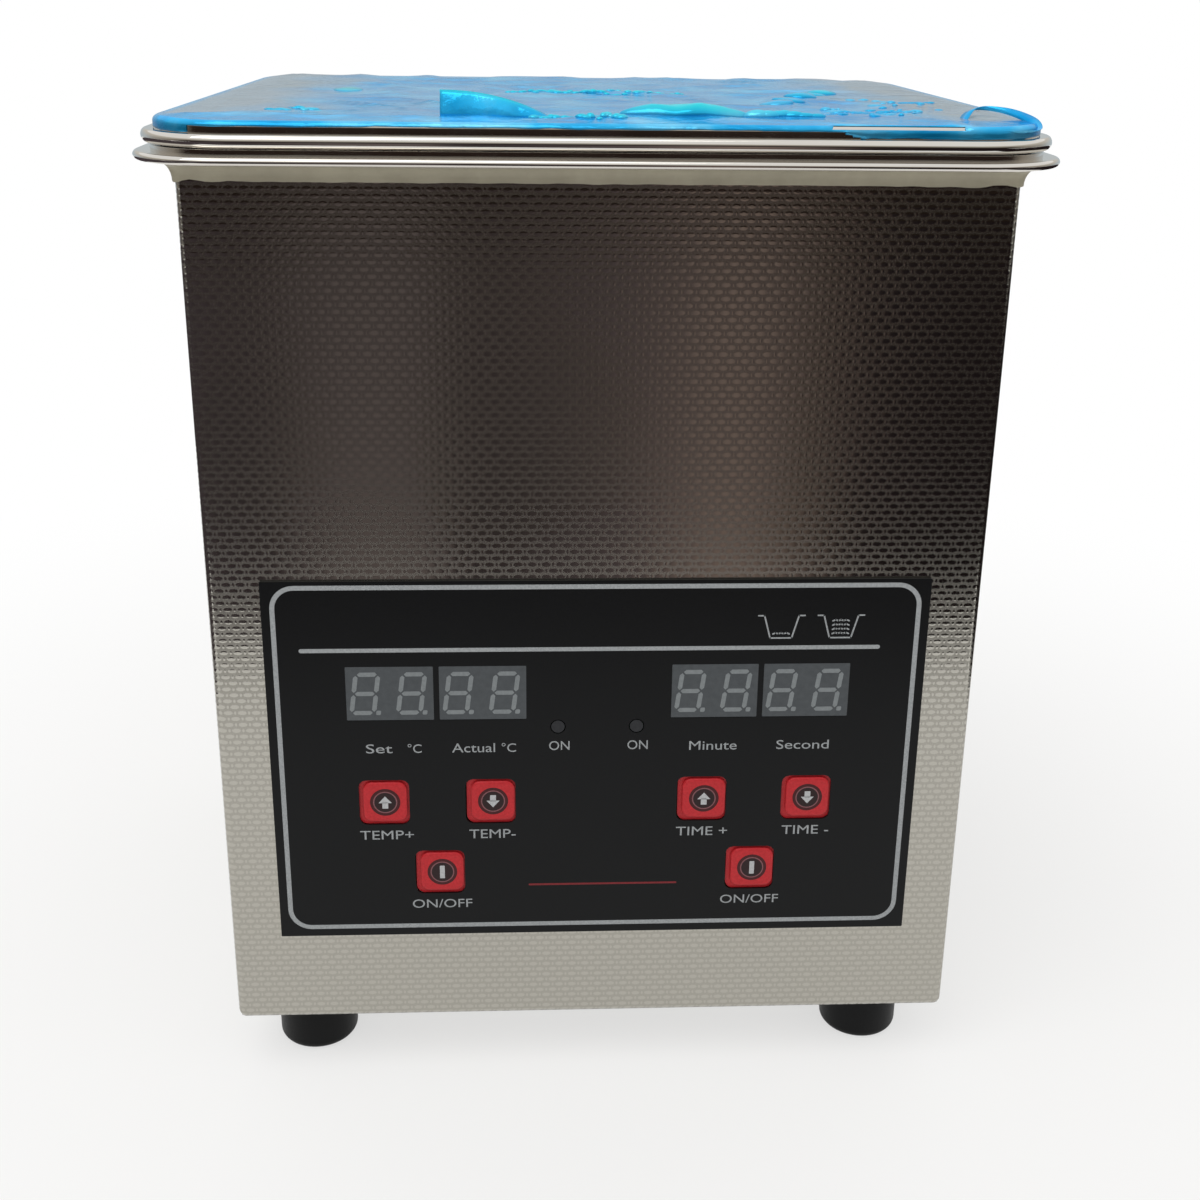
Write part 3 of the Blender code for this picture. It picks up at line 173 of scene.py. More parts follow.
@dataclass(frozen=True)
class EmbossedStainless(Finish):
    """Stainless sheet rolled with a rice-grain emboss: bright flat ovals and dots in a duller land."""

    colour: str = "#B2AFA6"
    land_colour: str = "#A8A59C"
    pitch_mm: float = 2.86
    row_mm: float = 1.355
    grain_mm: Vec2 = (0.92, 0.48)
    dot_mm: Vec2 = (0.25, 0.40)
    depth_mm: float = 0.007
    roughness: Vec2 = (0.06, 0.09)
    land_roughness: float = 0.23
    dent: Vec2 = (1.1, 0.35)
    edge: Vec2 = (1.12, 0.82)
    smear_mm: float = 18.0

    def distance(self, tree: Tree, place: Socket, half_mm: Vec2, shift: Vec2) -> Socket:
        """Distance from the nearest point of one lattice, in units of a grain's half size.

        Args:
            tree: the material's node tree.
            place: position along the sheet and up it, in metres.
            half_mm: half width and half height of the grain.
            shift: start of the lattice in cells.

        Returns:
            Socket that is 1 on the grain's edge.
        """
        cell = Vector((self.pitch_mm, 2 * self.row_mm, 1.0))
        count = add_node(
            tree,
            "ShaderNodeVectorMath",
            {0: place, 1: (1 / (cell.x * MM), 1 / (cell.y * MM), 0.0), 2: (shift[0], shift[1], 0.5)},
            operation="MULTIPLY_ADD",
        ).outputs[0]
        part = add_node(tree, "ShaderNodeVectorMath", {0: count}, operation="FRACTION").outputs[0]
        middle = add_node(
            tree, "ShaderNodeVectorMath", {0: part, 1: (0.5, 0.5, 0.5)}, operation="SUBTRACT"
        ).outputs[0]
        scaled = add_node(
            tree,
            "ShaderNodeVectorMath",
            {0: middle, 1: (cell.x / half_mm[0], cell.y / half_mm[1], 0.0)},
            operation="MULTIPLY",
        ).outputs[0]
        return add_node(tree, "ShaderNodeVectorMath", {0: scaled}, operation="LENGTH").outputs["Value"]

    def dress(self, tree: Tree, shader: bpy.types.Node) -> None:
        """Run the emboss round the case on x + y, which follows a front, side and rear wall alike."""
        place = add_node(tree, "ShaderNodeTexCoord").outputs["Object"]
        axes = add_node(tree, "ShaderNodeSeparateXYZ", {0: place}).outputs
        along = add_node(tree, "ShaderNodeMath", {0: axes["X"], 1: axes["Y"]}, operation="ADD").outputs[0]
        flat = add_node(tree, "ShaderNodeCombineXYZ", {"X": along, "Y": axes["Z"]}).outputs[0]
        nearest = None
        lattices = (
            (self.grain_mm, (0.0, 0.0)),
            (self.grain_mm, (0.5, 0.5)),
            (self.dot_mm, (0.5, 0.0)),
            (self.dot_mm, (0.0, 0.5)),
        )
        for half_mm, shift in lattices:
            reach = self.distance(tree, flat, half_mm, shift)
            if nearest is None:
                nearest = reach
                continue
            nearest = add_node(
                tree, "ShaderNodeMath", {0: nearest, 1: reach}, operation="MINIMUM"
            ).outputs[0]
        dent = add_node(
            tree,
            "ShaderNodeMapRange",
            {"Value": nearest, "From Min": self.dent[0], "From Max": self.dent[1]},
            interpolation_type="SMOOTHSTEP",
        ).outputs["Result"]
        smear = add_node(
            tree, "ShaderNodeTexNoise", {"Vector": place, "Scale": 1 / (self.smear_mm * MM), "Detail": 3.0}
        ).outputs["Fac"]
        gloss = add_node(
            tree,
            "ShaderNodeMapRange",
            {"Value": smear, "From Min": NOISE_LOW, "From Max": NOISE_HIGH, "To Min": self.roughness[0],
             "To Max": self.roughness[1]},
        )
        inside = add_node(
            tree,
            "ShaderNodeMapRange",
            {"Value": nearest, "From Min": self.edge[0], "From Max": self.edge[1]},
            interpolation_type="SMOOTHSTEP",
        ).outputs["Result"]
        colour = add_node(
            tree,
            "ShaderNodeMix",
            {0: inside, MIX_A: linear(self.land_colour), MIX_B: linear(self.colour)},
            data_type="RGBA",
        )
        dull = add_node(
            tree,
            "ShaderNodeMix",
            {0: inside, 2: self.land_roughness, 3: gloss.outputs["Result"]},
            data_type="FLOAT",
        ).outputs[0]
        bump = add_node(tree, "ShaderNodeBump", {"Height": dent, "Distance": self.depth_mm * MM})
        tree.links.new(colour.outputs[MIX_RESULT], shader.inputs["Base Color"])
        tree.links.new(dull, shader.inputs["Roughness"])
        tree.links.new(bump.outputs["Normal"], shader.inputs["Normal"])
        shader.inputs["Metallic"].default_value = 1.0


@dataclass(frozen=True)
class DrawnStainless(Finish):
    """Bright drawn stainless: near mirror, with faint draw lines and handling smears."""

    colour: str = "#D2CEC7"
    smear_mm: float = 9.0
    line_mm: float = 0.35
    line_stretch: Vec3 = (0.06, 0.06, 1.0)
    line_depth_mm: float = 0.002
    roughness: Vec2 = (0.05, 0.11)

    def dress(self, tree: Tree, shader: bpy.types.Node) -> None:
        """Vary the gloss with smears, and ripple the surface along the draw lines."""
        place = add_node(tree, "ShaderNodeTexCoord").outputs["Object"]
        smear = add_node(
            tree, "ShaderNodeTexNoise", {"Vector": place, "Scale": 1 / (self.smear_mm * MM), "Detail": 5.0}
        ).outputs["Fac"]
        gloss = add_node(
            tree,
            "ShaderNodeMapRange",
            {"Value": smear, "From Min": NOISE_LOW, "From Max": NOISE_HIGH, "To Min": self.roughness[0],
             "To Max": self.roughness[1]},
        )
        drawn = add_node(tree, "ShaderNodeMapping", {"Vector": place, "Scale": self.line_stretch}).outputs[0]
        lines = add_node(
            tree, "ShaderNodeTexNoise", {"Vector": drawn, "Scale": 1 / (self.line_mm * MM), "Detail": 2.0}
        ).outputs["Fac"]
        bump = add_node(tree, "ShaderNodeBump", {"Height": lines, "Distance": self.line_depth_mm * MM})
        tree.links.new(gloss.outputs["Result"], shader.inputs["Roughness"])
        tree.links.new(bump.outputs["Normal"], shader.inputs["Normal"])
        shader.inputs["Base Color"].default_value = linear(self.colour)
        shader.inputs["Metallic"].default_value = 1.0


@dataclass(frozen=True)
class TransitFilm(Finish):
    """Blue polyethylene transit film stuck to bright steel: the steel gleams through it as blue metal,
    its own skin adds a clear gloss, and where it has let go the grey of the steel shows. Crests carry
    a painted highlight, and turns, crinkles and blister feet a painted shade."""

    colours: tuple[str, str, str] = ("#0E9CDF", "#3ABBF4", "#84DAFC")
    # Painted highlight: paler cyan on the blister crests, the tunnel and the flap's top edge.
    painted_highlight: str = "#35E6E4"
    # Painted shade: dark teal where the film turns down the shoulder, in the flap's crinkles and round the
    # blister feet.
    deep: str = "#0A5578"
    loose: str = "#BAB8B2"
    mottle_mm: float = 14.0
    crease_mm: float = 4.0
    crease_depth_mm: float = 0.30
    metallic: float = 0.36
    roughness: Vec2 = (0.06, 0.16)
    gleam: str = "#5CBEF5"
    coat: float = 0.03
    coat_roughness: float = 0.06

    def dress(self, tree: Tree, shader: bpy.types.Node) -> None:
        """Mottle the blue, grey the loose parts, paint a highlight on crests and paint shade on turns and
        crinkles, all by the sheet's own attributes, and crease it.
        """
        place = add_node(tree, "ShaderNodeTexCoord").outputs["Object"]
        mottle = add_node(
            tree, "ShaderNodeTexNoise", {"Vector": place, "Scale": 1 / (self.mottle_mm * MM), "Detail": 4.0}
        ).outputs["Fac"]
        blue = add_node(tree, "ShaderNodeValToRGB", {"Fac": mottle})
        blue.color_ramp.elements.new(0.5)
        for stop, along, code in zip(blue.color_ramp.elements, (NOISE_LOW, 0.5, NOISE_HIGH), self.colours):
            stop.position = along
            stop.color = linear(code)
        colour = blue.outputs["Color"]
        for attribute, code in (("painted_highlight", self.painted_highlight), ("loose", self.loose), ("deep", self.deep)):
            share = add_node(tree, "ShaderNodeAttribute", attribute_name=attribute).outputs["Fac"]
            colour = add_node(
                tree, "ShaderNodeMix", {0: share, MIX_A: colour, MIX_B: linear(code)}, data_type="RGBA"
            ).outputs[MIX_RESULT]
        gloss = add_node(
            tree,
            "ShaderNodeMapRange",
            {"Value": mottle, "From Min": NOISE_LOW, "From Max": NOISE_HIGH, "To Min": self.roughness[0],
             "To Max": self.roughness[1]},
        )
        crease = add_node(
            tree, "ShaderNodeTexNoise", {"Vector": place, "Scale": 1 / (self.crease_mm * MM), "Detail": 5.0}
        ).outputs["Fac"]
        bump = add_node(tree, "ShaderNodeBump", {"Height": crease, "Distance": self.crease_depth_mm * MM})
        tree.links.new(colour, shader.inputs["Base Color"])
        tree.links.new(gloss.outputs["Result"], shader.inputs["Roughness"])
        tree.links.new(bump.outputs["Normal"], shader.inputs["Normal"])
        shader.inputs["Specular Tint"].default_value = linear(self.gleam)
        shader.inputs["Metallic"].default_value = self.metallic
        shader.inputs["Specular IOR Level"].default_value = 0.22
        shader.inputs["Coat Weight"].default_value = self.coat
        shader.inputs["Coat Roughness"].default_value = self.coat_roughness


# Rolled sheet: reflections break into rows of small glints.
CASE_STEEL = EmbossedStainless("stainless_rice_grain_sheet")
# Drawn sheet: bright edges and dark, sharp reflections.
RIM_STEEL = DrawnStainless("stainless_drawn_bright")
# Film on steel: saturated, shiny blue that greys at a low angle, with painted highlights on its crests and
# painted shade in its turns.
LID_FILM = TransitFilm("polyethylene_transit_film")
# Smeared sealant: soft cream with a wiped, even skin.
SEALANT = MottledFinish("silicone_sealant_cream", "#938D7A", "#A29C88", 7.0, 0.06, (0.35, 0.5))
# Moulded rubber: dull black with a fine grain.
FOOT_RUBBER = MottledFinish(
    "moulded_rubber_black", "#070708", "#0F1011", 0.5, 0.03, (0.38, 0.52), specular=0.15
)
# Printed polyester: deep black with a satin tooth.
PANEL_FILM = MottledFinish(
    "polyester_overlay_black", "#08090A", "#0D0E10", 0.35, 0.008, (0.28, 0.36), specular=0.18
)
# Screen inks: flat, a little uneven where the mesh printed them.
GREY_INK = MottledFinish("screen_ink_grey", "#85898B", "#A2A5A7", 0.4, 0.004, (0.4, 0.5), specular=0.3)
RED_INK = MottledFinish("screen_ink_red", "#6C1A1F", "#7E2026", 0.4, 0.004, (0.4, 0.5), specular=0.3)
MAROON_INK = MottledFinish("screen_ink_maroon", "#38090D", "#480D12", 0.4, 0.004, (0.35, 0.45), specular=0.3)
PINK_INK = MottledFinish("screen_ink_rose_grey", "#74484C", "#86575B", 0.4, 0.004, (0.35, 0.45), specular=0.3)
OXBLOOD_INK = MottledFinish("screen_ink_oxblood", "#1E0A0C", "#280F12", 0.4, 0.004, (0.3, 0.4), specular=0.3)
WHITE_INK = MottledFinish("screen_ink_white", "#A6A7A9", "#B9BABC", 0.4, 0.004, (0.35, 0.45), specular=0.3)
# Cast epoxy face of a display: smooth grey, its unlit bars a shade paler.
DISPLAY_FACE = MottledFinish(
    "display_epoxy_grey", "#43474A", "#4B4F52", 1.2, 0.004, (0.30, 0.40), specular=0.3
)
DISPLAY_BAR = MottledFinish(
    "display_bar_diffuser", "#73787A", "#7F8486", 0.6, 0.004, (0.35, 0.45), specular=0.3
)
LAMP_LENS = MottledFinish("lamp_lens_smoked", "#222326", "#2C2D30", 0.8, 0.004, (0.3, 0.4), specular=0.25)
# Embossed key film: saturated red with a satin skin.
KEY_FILM = MottledFinish("polyester_key_red", "#A91B22", "#BE262D", 0.5, 0.008, (0.34, 0.44), specular=0.3)
# Mouldings, metal and parts inside the case.
ABS_BLACK = MottledFinish("moulded_abs_black", "#151517", "#212124", 0.4, 0.015, (0.42, 0.55), specular=0.4)
ZINC_PLATE = MottledFinish("zinc_plated_steel", "#A9ABAA", "#CFCFC9", 1.5, 0.006, (0.25, 0.42), 1.0)
TURNED_ALLOY = MottledFinish(
    "turned_aluminium", "#BFC1C3", "#DADBDC", 0.5, 0.01, (0.28, 0.42), 1.0, stretch=(0.1, 0.1, 1.0)
)
COPPER_SHEET = MottledFinish("copper_sheet", "#B0673F", "#D08C62", 2.0, 0.004, (0.25, 0.45), 1.0)
BOARD_MASK = MottledFinish("board_solder_mask_green", "#1F5C33", "#2C7A45", 0.8, 0.01, (0.25, 0.38))
CERAMIC = MottledFinish("piezo_ceramic", "#8D8674", "#A39B86", 0.6, 0.006, (0.55, 0.7))
HEATER_RUBBER = MottledFinish("silicone_heater_pad", "#96402B", "#B1553B", 0.9, 0.03, (0.55, 0.7))
FERRITE = MottledFinish("sintered_ferrite", "#26272A", "#393A3E", 0.5, 0.02, (0.5, 0.65))
SLEEVE = MottledFinish("shrink_sleeve_blue", "#1E3A63", "#2A4C7E", 1.5, 0.006, (0.22, 0.35))

CAD_FINISHES = {
    "embossed_steel": CASE_STEEL,
    "polished_steel": RIM_STEEL,
    "plated_steel": ZINC_PLATE,
    "aluminium": TURNED_ALLOY,
    "copper": COPPER_SHEET,
    "blue_film": LID_FILM,
    "cream_silicone": SEALANT,
    "black_rubber": FOOT_RUBBER,
    "black_overlay": PANEL_FILM,
    "grey_display": DISPLAY_FACE,
    "dark_lens": LAMP_LENS,
    "red_key": KEY_FILM,
    "black_plastic": ABS_BLACK,
    "green_board": BOARD_MASK,
    "piezo_ceramic": CERAMIC,
    "heater_silicone": HEATER_RUBBER,
    "ferrite": FERRITE,
    "blue_sleeve": SLEEVE,
}


class Body(str, Enum):
    """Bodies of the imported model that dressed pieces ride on."""

    BASE = "base"
    LID = "lid_tray"


@dataclass(frozen=True)
class Section:
    """A rounded rectangle at one height, centred on the Z axis."""

    half_x: float
    half_y: float
    corner: float
    z: float


def rounded_face(bm: Bm, size: Vec2, corner: float, steps: int) -> bmesh.types.BMFace:
    """Add a flat rounded rectangle at the origin.

    Args:
        bm: mesh that gets the face.
        size: width and height.
        corner: corner radius.
        steps: edges along each corner.

    Returns:
        The face, facing +Z.
    """
    verts = bmesh.ops.create_grid(bm, x_segments=1, y_segments=1, size=0.5)["verts"]
    bmesh.ops.scale(bm, verts=verts, vec=(size[0], size[1], 1.0))
    made = bmesh.ops.bevel(
        bm, geom=verts, affect="VERTICES", offset=corner, offset_type="OFFSET", segments=steps, profile=0.5,
        material=-1,
    )
    return made["verts"][0].link_faces[0]


def rounded_loop(bm: Bm, section: Section, steps: int, cuts: int) -> Edges:
    """Add a section's outline as bare edges.

    Args:
        bm: mesh that gets the outline.
        section: rounded rectangle.
        steps: edges along each corner.
        cuts: extra points along each straight side.

    Returns:
        The outline's edges.
    """
    before = set(bm.edges)
    face = rounded_face(bm, (2 * section.half_x, 2 * section.half_y), section.corner, steps)
    bmesh.ops.translate(bm, verts=face.verts, vec=(0.0, 0.0, section.z))
    runs = ((edge, edge.verts[0].co - edge.verts[1].co) for edge in face.edges)
    straight = [edge for edge, run in runs if min(abs(run.x), abs(run.y)) < 1e-7]
    bmesh.ops.delete(bm, geom=[face], context="FACES_ONLY")
    if cuts:
        bmesh.ops.subdivide_edges(bm, edges=straight, cuts=cuts)
    return [edge for edge in bm.edges if edge not in before]


def bridge(bm: Bm, first: Edges, second: Edges) -> list[bmesh.types.BMFace]:
    """Join two outlines; a lift while they are joined keeps level ones from twisting.

    Args:
        bm: mesh that holds the outlines.
        first: edges of one outline.
        second: edges of the other.

    Returns:
        The faces between them.
    """
    lifted = list({vert for edge in second for vert in edge.verts})
    bmesh.ops.translate(bm, verts=lifted, vec=(0.0, 0.0, BRIDGE_LIFT))
    faces = bmesh.ops.bridge_loops(bm, edges=first + second)["faces"]
    bmesh.ops.translate(bm, verts=lifted, vec=(0.0, 0.0, -BRIDGE_LIFT))
    return faces


def thicken(bm: Bm, face: bmesh.types.BMFace, low: float, high: float) -> Verts:
    """Make a closed prism of a flat face at z 0.

    Args:
        bm: mesh that holds the face.
        face: outline of the prism.
        low: height of its back.
        high: height of its front.

    Returns:
        All vertices of the prism.
    """
    back = list(face.verts)
    made = bmesh.ops.extrude_face_region(bm, geom=[face])["geom"]
    front = [item for item in made if isinstance(item, bmesh.types.BMVert)]
    bmesh.ops.translate(bm, verts=back, vec=(0.0, 0.0, low))
    bmesh.ops.translate(bm, verts=front, vec=(0.0, 0.0, high))
    return back + front


def loft(bm: Bm, sections: list[Section], steps: int, cuts: int = 0, ring: bool = False) -> None:
    """Skin a row of sections into a closed solid.

    Args:
        bm: empty mesh that gets the solid.
        sections: rounded rectangles in the order the skin runs.
        steps: edges along each corner.
        cuts: extra points along each straight side.
        ring: join the last section to the first, in place of two caps.
    """
    loops = [rounded_loop(bm, section, steps, cuts) for section in sections]
    pairs = list(zip(loops, loops[1:]))
    if ring:
        pairs.append((loops[-1], loops[0]))
    else:
        bmesh.ops.contextual_create(bm, geom=loops[0])
        bmesh.ops.contextual_create(bm, geom=loops[-1])
    for first, second in pairs:
        bridge(bm, first, second)


def add_piece(
    name: str,
    bm: Bm,
    finish: Finish,
    body: str,
    stands_for: tuple[str, ...] = (),
    sharp: float = 35.0,
) -> bpy.types.Object:
    """Turn a mesh into a finished piece on a body.

    Args:
        name: piece name.
        bm: mesh in the frame's place; it is freed.
        finish: material.
        body: body that carries the piece.
        stands_for: CAD nodes that the piece replaces.
        sharp: edges past this angle, in degrees, stay sharp.

    Returns:
        The new object.
    """
    bmesh.ops.recalc_face_normals(bm, faces=bm.faces)
    mesh = bpy.data.meshes.new(name)
    bm.to_mesh(mesh)
    bm.free()
    mesh.shade_smooth()
    mesh.set_sharp_from_angle(angle=math.radians(sharp))
    made = bpy.data.objects.new(name, mesh)
    bpy.context.scene.collection.objects.link(made)
    mesh.materials.append(finish.material())
    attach(made, body)
    if stands_for:
        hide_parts(*stands_for)
    LOG.info("%s: %d faces on %s", name, len(mesh.polygons), body)
    return made


def even_shading(piece: bpy.types.Object) -> None:
    """Let a sheet's large faces set the shading where they meet its bends."""
    shading = piece.modifiers.new("even_shading", "WEIGHTED_NORMAL")
    shading.keep_sharp = True
    shading.weight = 100


def quarter(start: float, end: float, steps: int) -> list[float]:
    """Return evenly spaced angles in radians between two angles in degrees."""
    return [math.radians(start + (end - start) * step / steps) for step in range(steps + 1)]


def scatter(spot: Vector) -> Vector:
    """Return three noise values, each from about -1 to 1, that are the same in every run."""
    return Vector(noise.noise(spot + Vector((0.0, 0.0, 11.37 * axis))) for axis in range(3))


@dataclass
class Case:
    """The folded case: the CAD shell's own openings, with smooth bends."""

    weld: float = 1e-6
    flat: float = math.radians(0.5)

    def build(self) -> None:
        """Copy the CAD shell, weld its triangles and even out the shading across its bends."""
        bm = bmesh.new()
        bm.from_mesh(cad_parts["housing_shell"].data)
        bmesh.ops.remove_doubles(bm, verts=bm.verts, dist=self.weld)
        bmesh.ops.dissolve_limit(bm, angle_limit=self.flat, verts=bm.verts, edges=bm.edges)
        shell = add_piece(
            "case_shell", bm, CASE_STEEL, Body.BASE, ("housing_shell",), sharp=50.0
        )
        even_shading(shell)


@dataclass
class Rim:
    """The drawn tank with its stepped, hemmed flange, and the sealant bead under it."""

    sheet: float = 0.8 * MM
    ledge_width: float = 9.8 * MM
    step: float = 1.1 * MM
    overhang: float = 3.2 * MM
    hem_height: float = 1.6 * MM
    hem_corner: float = 18 * MM
    tank_corner: float = 20 * MM
    floor_fillet: float = 10 * MM
    mouth_roll: float = 2 * MM
    ledge_round: float = 0.08 * MM
    bead_gap: float = 0.1 * MM
    bead_toe: float = 0.4 * MM
    bead_bend: float = 1.6 * MM
    lump_size: float = 6 * MM
    ragged: float = 0.16 * MM
    torn: float = 0.9 * MM
    lump: float = 0.12 * MM
    corner_steps: int = 14

    def __post_init__(self) -> None:
        """Read the flange's reach and heights from the tank's box."""
        low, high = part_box("tank")
        self.hem_offset = self.ledge_width + self.overhang
        self.mouth = (high.x - self.hem_offset, high.y - self.hem_offset)
        self.top = high.z
        self.floor = low.z + self.sheet

    def wall(self, offset: float, z: float) -> Section:
        """Section of the drawn wall, at an offset from its inner face."""
        return Section(self.mouth[0] + offset, self.mouth[1] + offset, self.tank_corner + offset, z)

    def flange(self, offset: float, z: float) -> Section:
        """Section of the flange, at an offset from the tank's inner face."""
        corner = self.hem_corner - self.hem_offset + offset
        return Section(self.mouth[0] + offset, self.mouth[1] + offset, corner, z)

    def drawn_side(self, skin: float) -> list[Section]:
        """Sections of the basin from its floor to its mouth, on one face of the sheet.

        Args:
            skin: offset of the face from the inner one.

        Returns:
            Sections from the floor upwards.
        """
        fillet = self.floor_fillet + skin
        roll = self.mouth_roll - skin
        centre = self.floor + self.floor_fillet
        side = [
            self.wall(skin + fillet * (math.cos(a) - 1), centre + fillet * math.sin(a))
            for a in quarter(-90, 0, 7)
        ]
        rise = self.top - self.mouth_roll
        side += [
            self.wall(self.mouth_roll + roll * math.cos(a), rise + roll * math.sin(a))
            for a in quarter(180, 90, 5)
        ]
        return side

    def build_tank(self) -> None:
        """Skin the basin, ledge, step and rounded hem as one sheet."""
        half = self.hem_height / 2
        hem_top = self.top - self.step
        ledge = [
            self.flange(self.ledge_width - self.ledge_round * (1 - math.cos(a)),
                        self.top - self.ledge_round * (1 - math.sin(a)))
            for a in quarter(90, 0, 3)
        ]
        hem = [
            self.flange(self.hem_offset - half * (1 - math.cos(a)), hem_top - half * (1 - math.sin(a)))
            for a in quarter(90, -90, 8)
        ]
        under = [
            self.flange(self.ledge_width - self.sheet, hem_top - self.hem_height),
            self.flange(self.ledge_width - self.sheet, self.top - self.sheet),
        ]
        sections = self.drawn_side(0.0) + ledge
        sections += [self.flange(self.ledge_width, hem_top)] + hem + under
        sections += self.drawn_side(self.sheet)[::-1]
        bm = bmesh.new()
        loft(bm, sections, self.corner_steps)
        tank = add_piece("drawn_tank", bm, RIM_STEEL, Body.BASE, ("tank",), sharp=55.0)
        even_shading(tank)

    def build_bead(self) -> None:
        """Flare the bead from the case to the hem, then make its toe ragged and its skin lumpy."""
        low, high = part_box("rim_gasket")
        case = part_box("housing_shell")[1]
        flare = high.x - case.x
        bend = self.bead_gap + self.bead_bend
        drop = high.z - low.z
        profile = [(self.bead_gap, high.z), (self.bead_gap, low.z)]
        for a in quarter(0, 90, 7):
            toe = self.bead_gap + self.bead_toe
            profile.append((toe + (flare - toe) * (1 - math.cos(a)), high.z - drop * (1 - math.sin(a))))
        sections = [Section(case.x + out, case.y + out, bend + out, z) for out, z in profile]
        bm = bmesh.new()
        loft(bm, sections, 6, cuts=110, ring=True)
        for vert in bm.verts:
            near_toe = (high.z - vert.co.z) / drop
            spot = Vector((vert.co.x, vert.co.y, 0.0)) / self.lump_size
            at_corner = max(0.0, (abs(vert.co.x) - case.x * 0.72) / (case.x * 0.28))
            reach = self.ragged + (self.torn - self.ragged) * min(at_corner, 1.0) ** 2
            vert.co.z -= reach * near_toe * max(noise.fractal(spot, 1.0, 2.0, 3), -0.5)
            outward = Vector((vert.co.x, vert.co.y, 0.0)).normalized()
            vert.co += outward * self.lump * near_toe * max(noise.noise(spot * 1.7 + Vector((0, 0, 5))), 0.0)
        add_piece("sealant_bead", bm, SEALANT, Body.BASE, ("rim_gasket",), sharp=60.0)

    def build(self) -> None:
        """Build the tank and its bead."""
        self.build_tank()
        self.build_bead()


@dataclass
class Foot:
    """A moulded rubber foot, a little fuller than its solid, with a collar and a screw's counterbore."""

    collar: float = 1.5 * MM
    swell: float = 0.5 * MM
    taper: float = 0.9 * MM
    edge: float = 1.8 * MM
    collar_edge: float = 0.3 * MM
    bore: float = 2.3 * MM
    counterbore: float = 4.6 * MM
    seat: float = 5.5 * MM
    turns: int = 64

    def build(self, node: str) -> None:
        """Spin the foot's profile where its CAD node stands.

        Args:
            node: CAD node of the foot.
        """
        low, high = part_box(node)
        top = (high.x - low.x) / 2 + self.swell
        height = high.z - low.z
        waist = top - self.taper
        profile = [(self.bore, height), (top - self.collar_edge, height), (top, height - self.collar_edge)]
        profile += [(top, height - self.collar + self.collar_edge), (waist, height - self.collar)]
        profile += [
            (waist - self.edge * (1 - math.cos(a)), self.edge * (1 - math.sin(a))) for a in quarter(0, 90, 6)
        ]
        seat = height - self.seat
        profile += [(self.counterbore, 0.0), (self.counterbore, seat), (self.bore, seat)]
        centre = Vector(((low.x + high.x) / 2, (low.y + high.y) / 2, low.z))
        bm = bmesh.new()
        verts = [bm.verts.new(centre + Vector((radius, 0.0, z))) for radius, z in profile]
        edges = [bm.edges.new(pair) for pair in zip(verts, verts[1:] + verts[:1])]
        bmesh.ops.spin(
            bm, geom=verts + edges, cent=centre, axis=(0.0, 0.0, 1.0), angle=math.tau, steps=self.turns,
            use_merge=True,
        )
        bmesh.ops.remove_doubles(bm, verts=bm.verts, dist=1e-6)
        add_piece(f"rubber_{node}", bm, FOOT_RUBBER, Body.BASE, (node,))


@dataclass
class Lid:
    """The pressed lid turned upside down on the ledge, still under its transit film."""

    sheet: float = 0.8 * MM
    hem_width: float = 2.45 * MM
    hem_height: float = 2.4 * MM
    shoulder: float = 1.0 * MM
    corner: float = 16.3 * MM
    corner_steps: int = 14

    def __post_init__(self) -> None:
        """Read the lid's reach and heights from its box."""
        low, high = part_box("lid")
        self.wall_half = (high.x - self.hem_width, high.y - self.hem_width)
        self.bottom = low.z
        self.top = high.z

    def section(self, offset: float, z: float) -> Section:
        """Section of the lid, at an offset from its wall's outer face."""
        return Section(self.wall_half[0] + offset, self.wall_half[1] + offset, self.corner + offset, z)

    def crown(self, skin: float) -> list[Section]:
        """Shoulder sections from the top down, on a face at an offset from the outer one.

        Args:
            skin: offset of the face, outwards.

        Returns:
            Sections from the top to the wall.
        """
        radius = self.shoulder + skin
        centre = self.top - self.shoulder
        return [
            self.section(radius * math.cos(a) - self.shoulder, centre + radius * math.sin(a))
            for a in quarter(90, 0, 6)
        ]

    def build_tray(self) -> None:
        """Skin the tray with a rounded hem."""
        half = self.hem_height / 2
        middle = self.bottom + half
        hem = [
            self.section(self.hem_width - half * 0.7 * (1 - math.cos(a)), middle + half * math.sin(a))
            for a in quarter(90, -90, 10)
        ]
        sections = self.crown(0.0) + [self.section(0.0, self.bottom + self.hem_height)] + hem
        sections += [self.section(-self.sheet, self.bottom)] + self.crown(-self.sheet)[::-1]
        bm = bmesh.new()
        loft(bm, sections, self.corner_steps)
        tray = add_piece("lid_tray_pressing", bm, RIM_STEEL, Body.LID, ("lid",), sharp=55.0)
        even_shading(tray)


@dataclass(frozen=True)
class Cluster:
    """A scatter of small blisters: where, how far it spreads, how many, how tall and how strong the painted
    highlight on their crests is.
    """

    place: Vec2
    spread: Vec2
    count: int
    tall: float
    # Strength of the painted highlight on the blisters' crests.
    highlight_share: float


CLUSTERS = (
    Cluster((1.5 * MM, 6 * MM), (20 * MM, 4 * MM), 40, 0.38 * MM, 0.9),
    Cluster((55 * MM, -48 * MM), (9 * MM, 9 * MM), 40, 0.32 * MM, 0.2),
    Cluster((65 * MM, -20 * MM), (8 * MM, 14 * MM), 24, 0.30 * MM, 0.15),
    Cluster((-59 * MM, -56 * MM), (5 * MM, 4 * MM), 16, 0.34 * MM, 0.5),
    Cluster((-4.5 * MM, -68 * MM), (8.5 * MM, 2.5 * MM), 22, 0.52 * MM, 0.7),
)


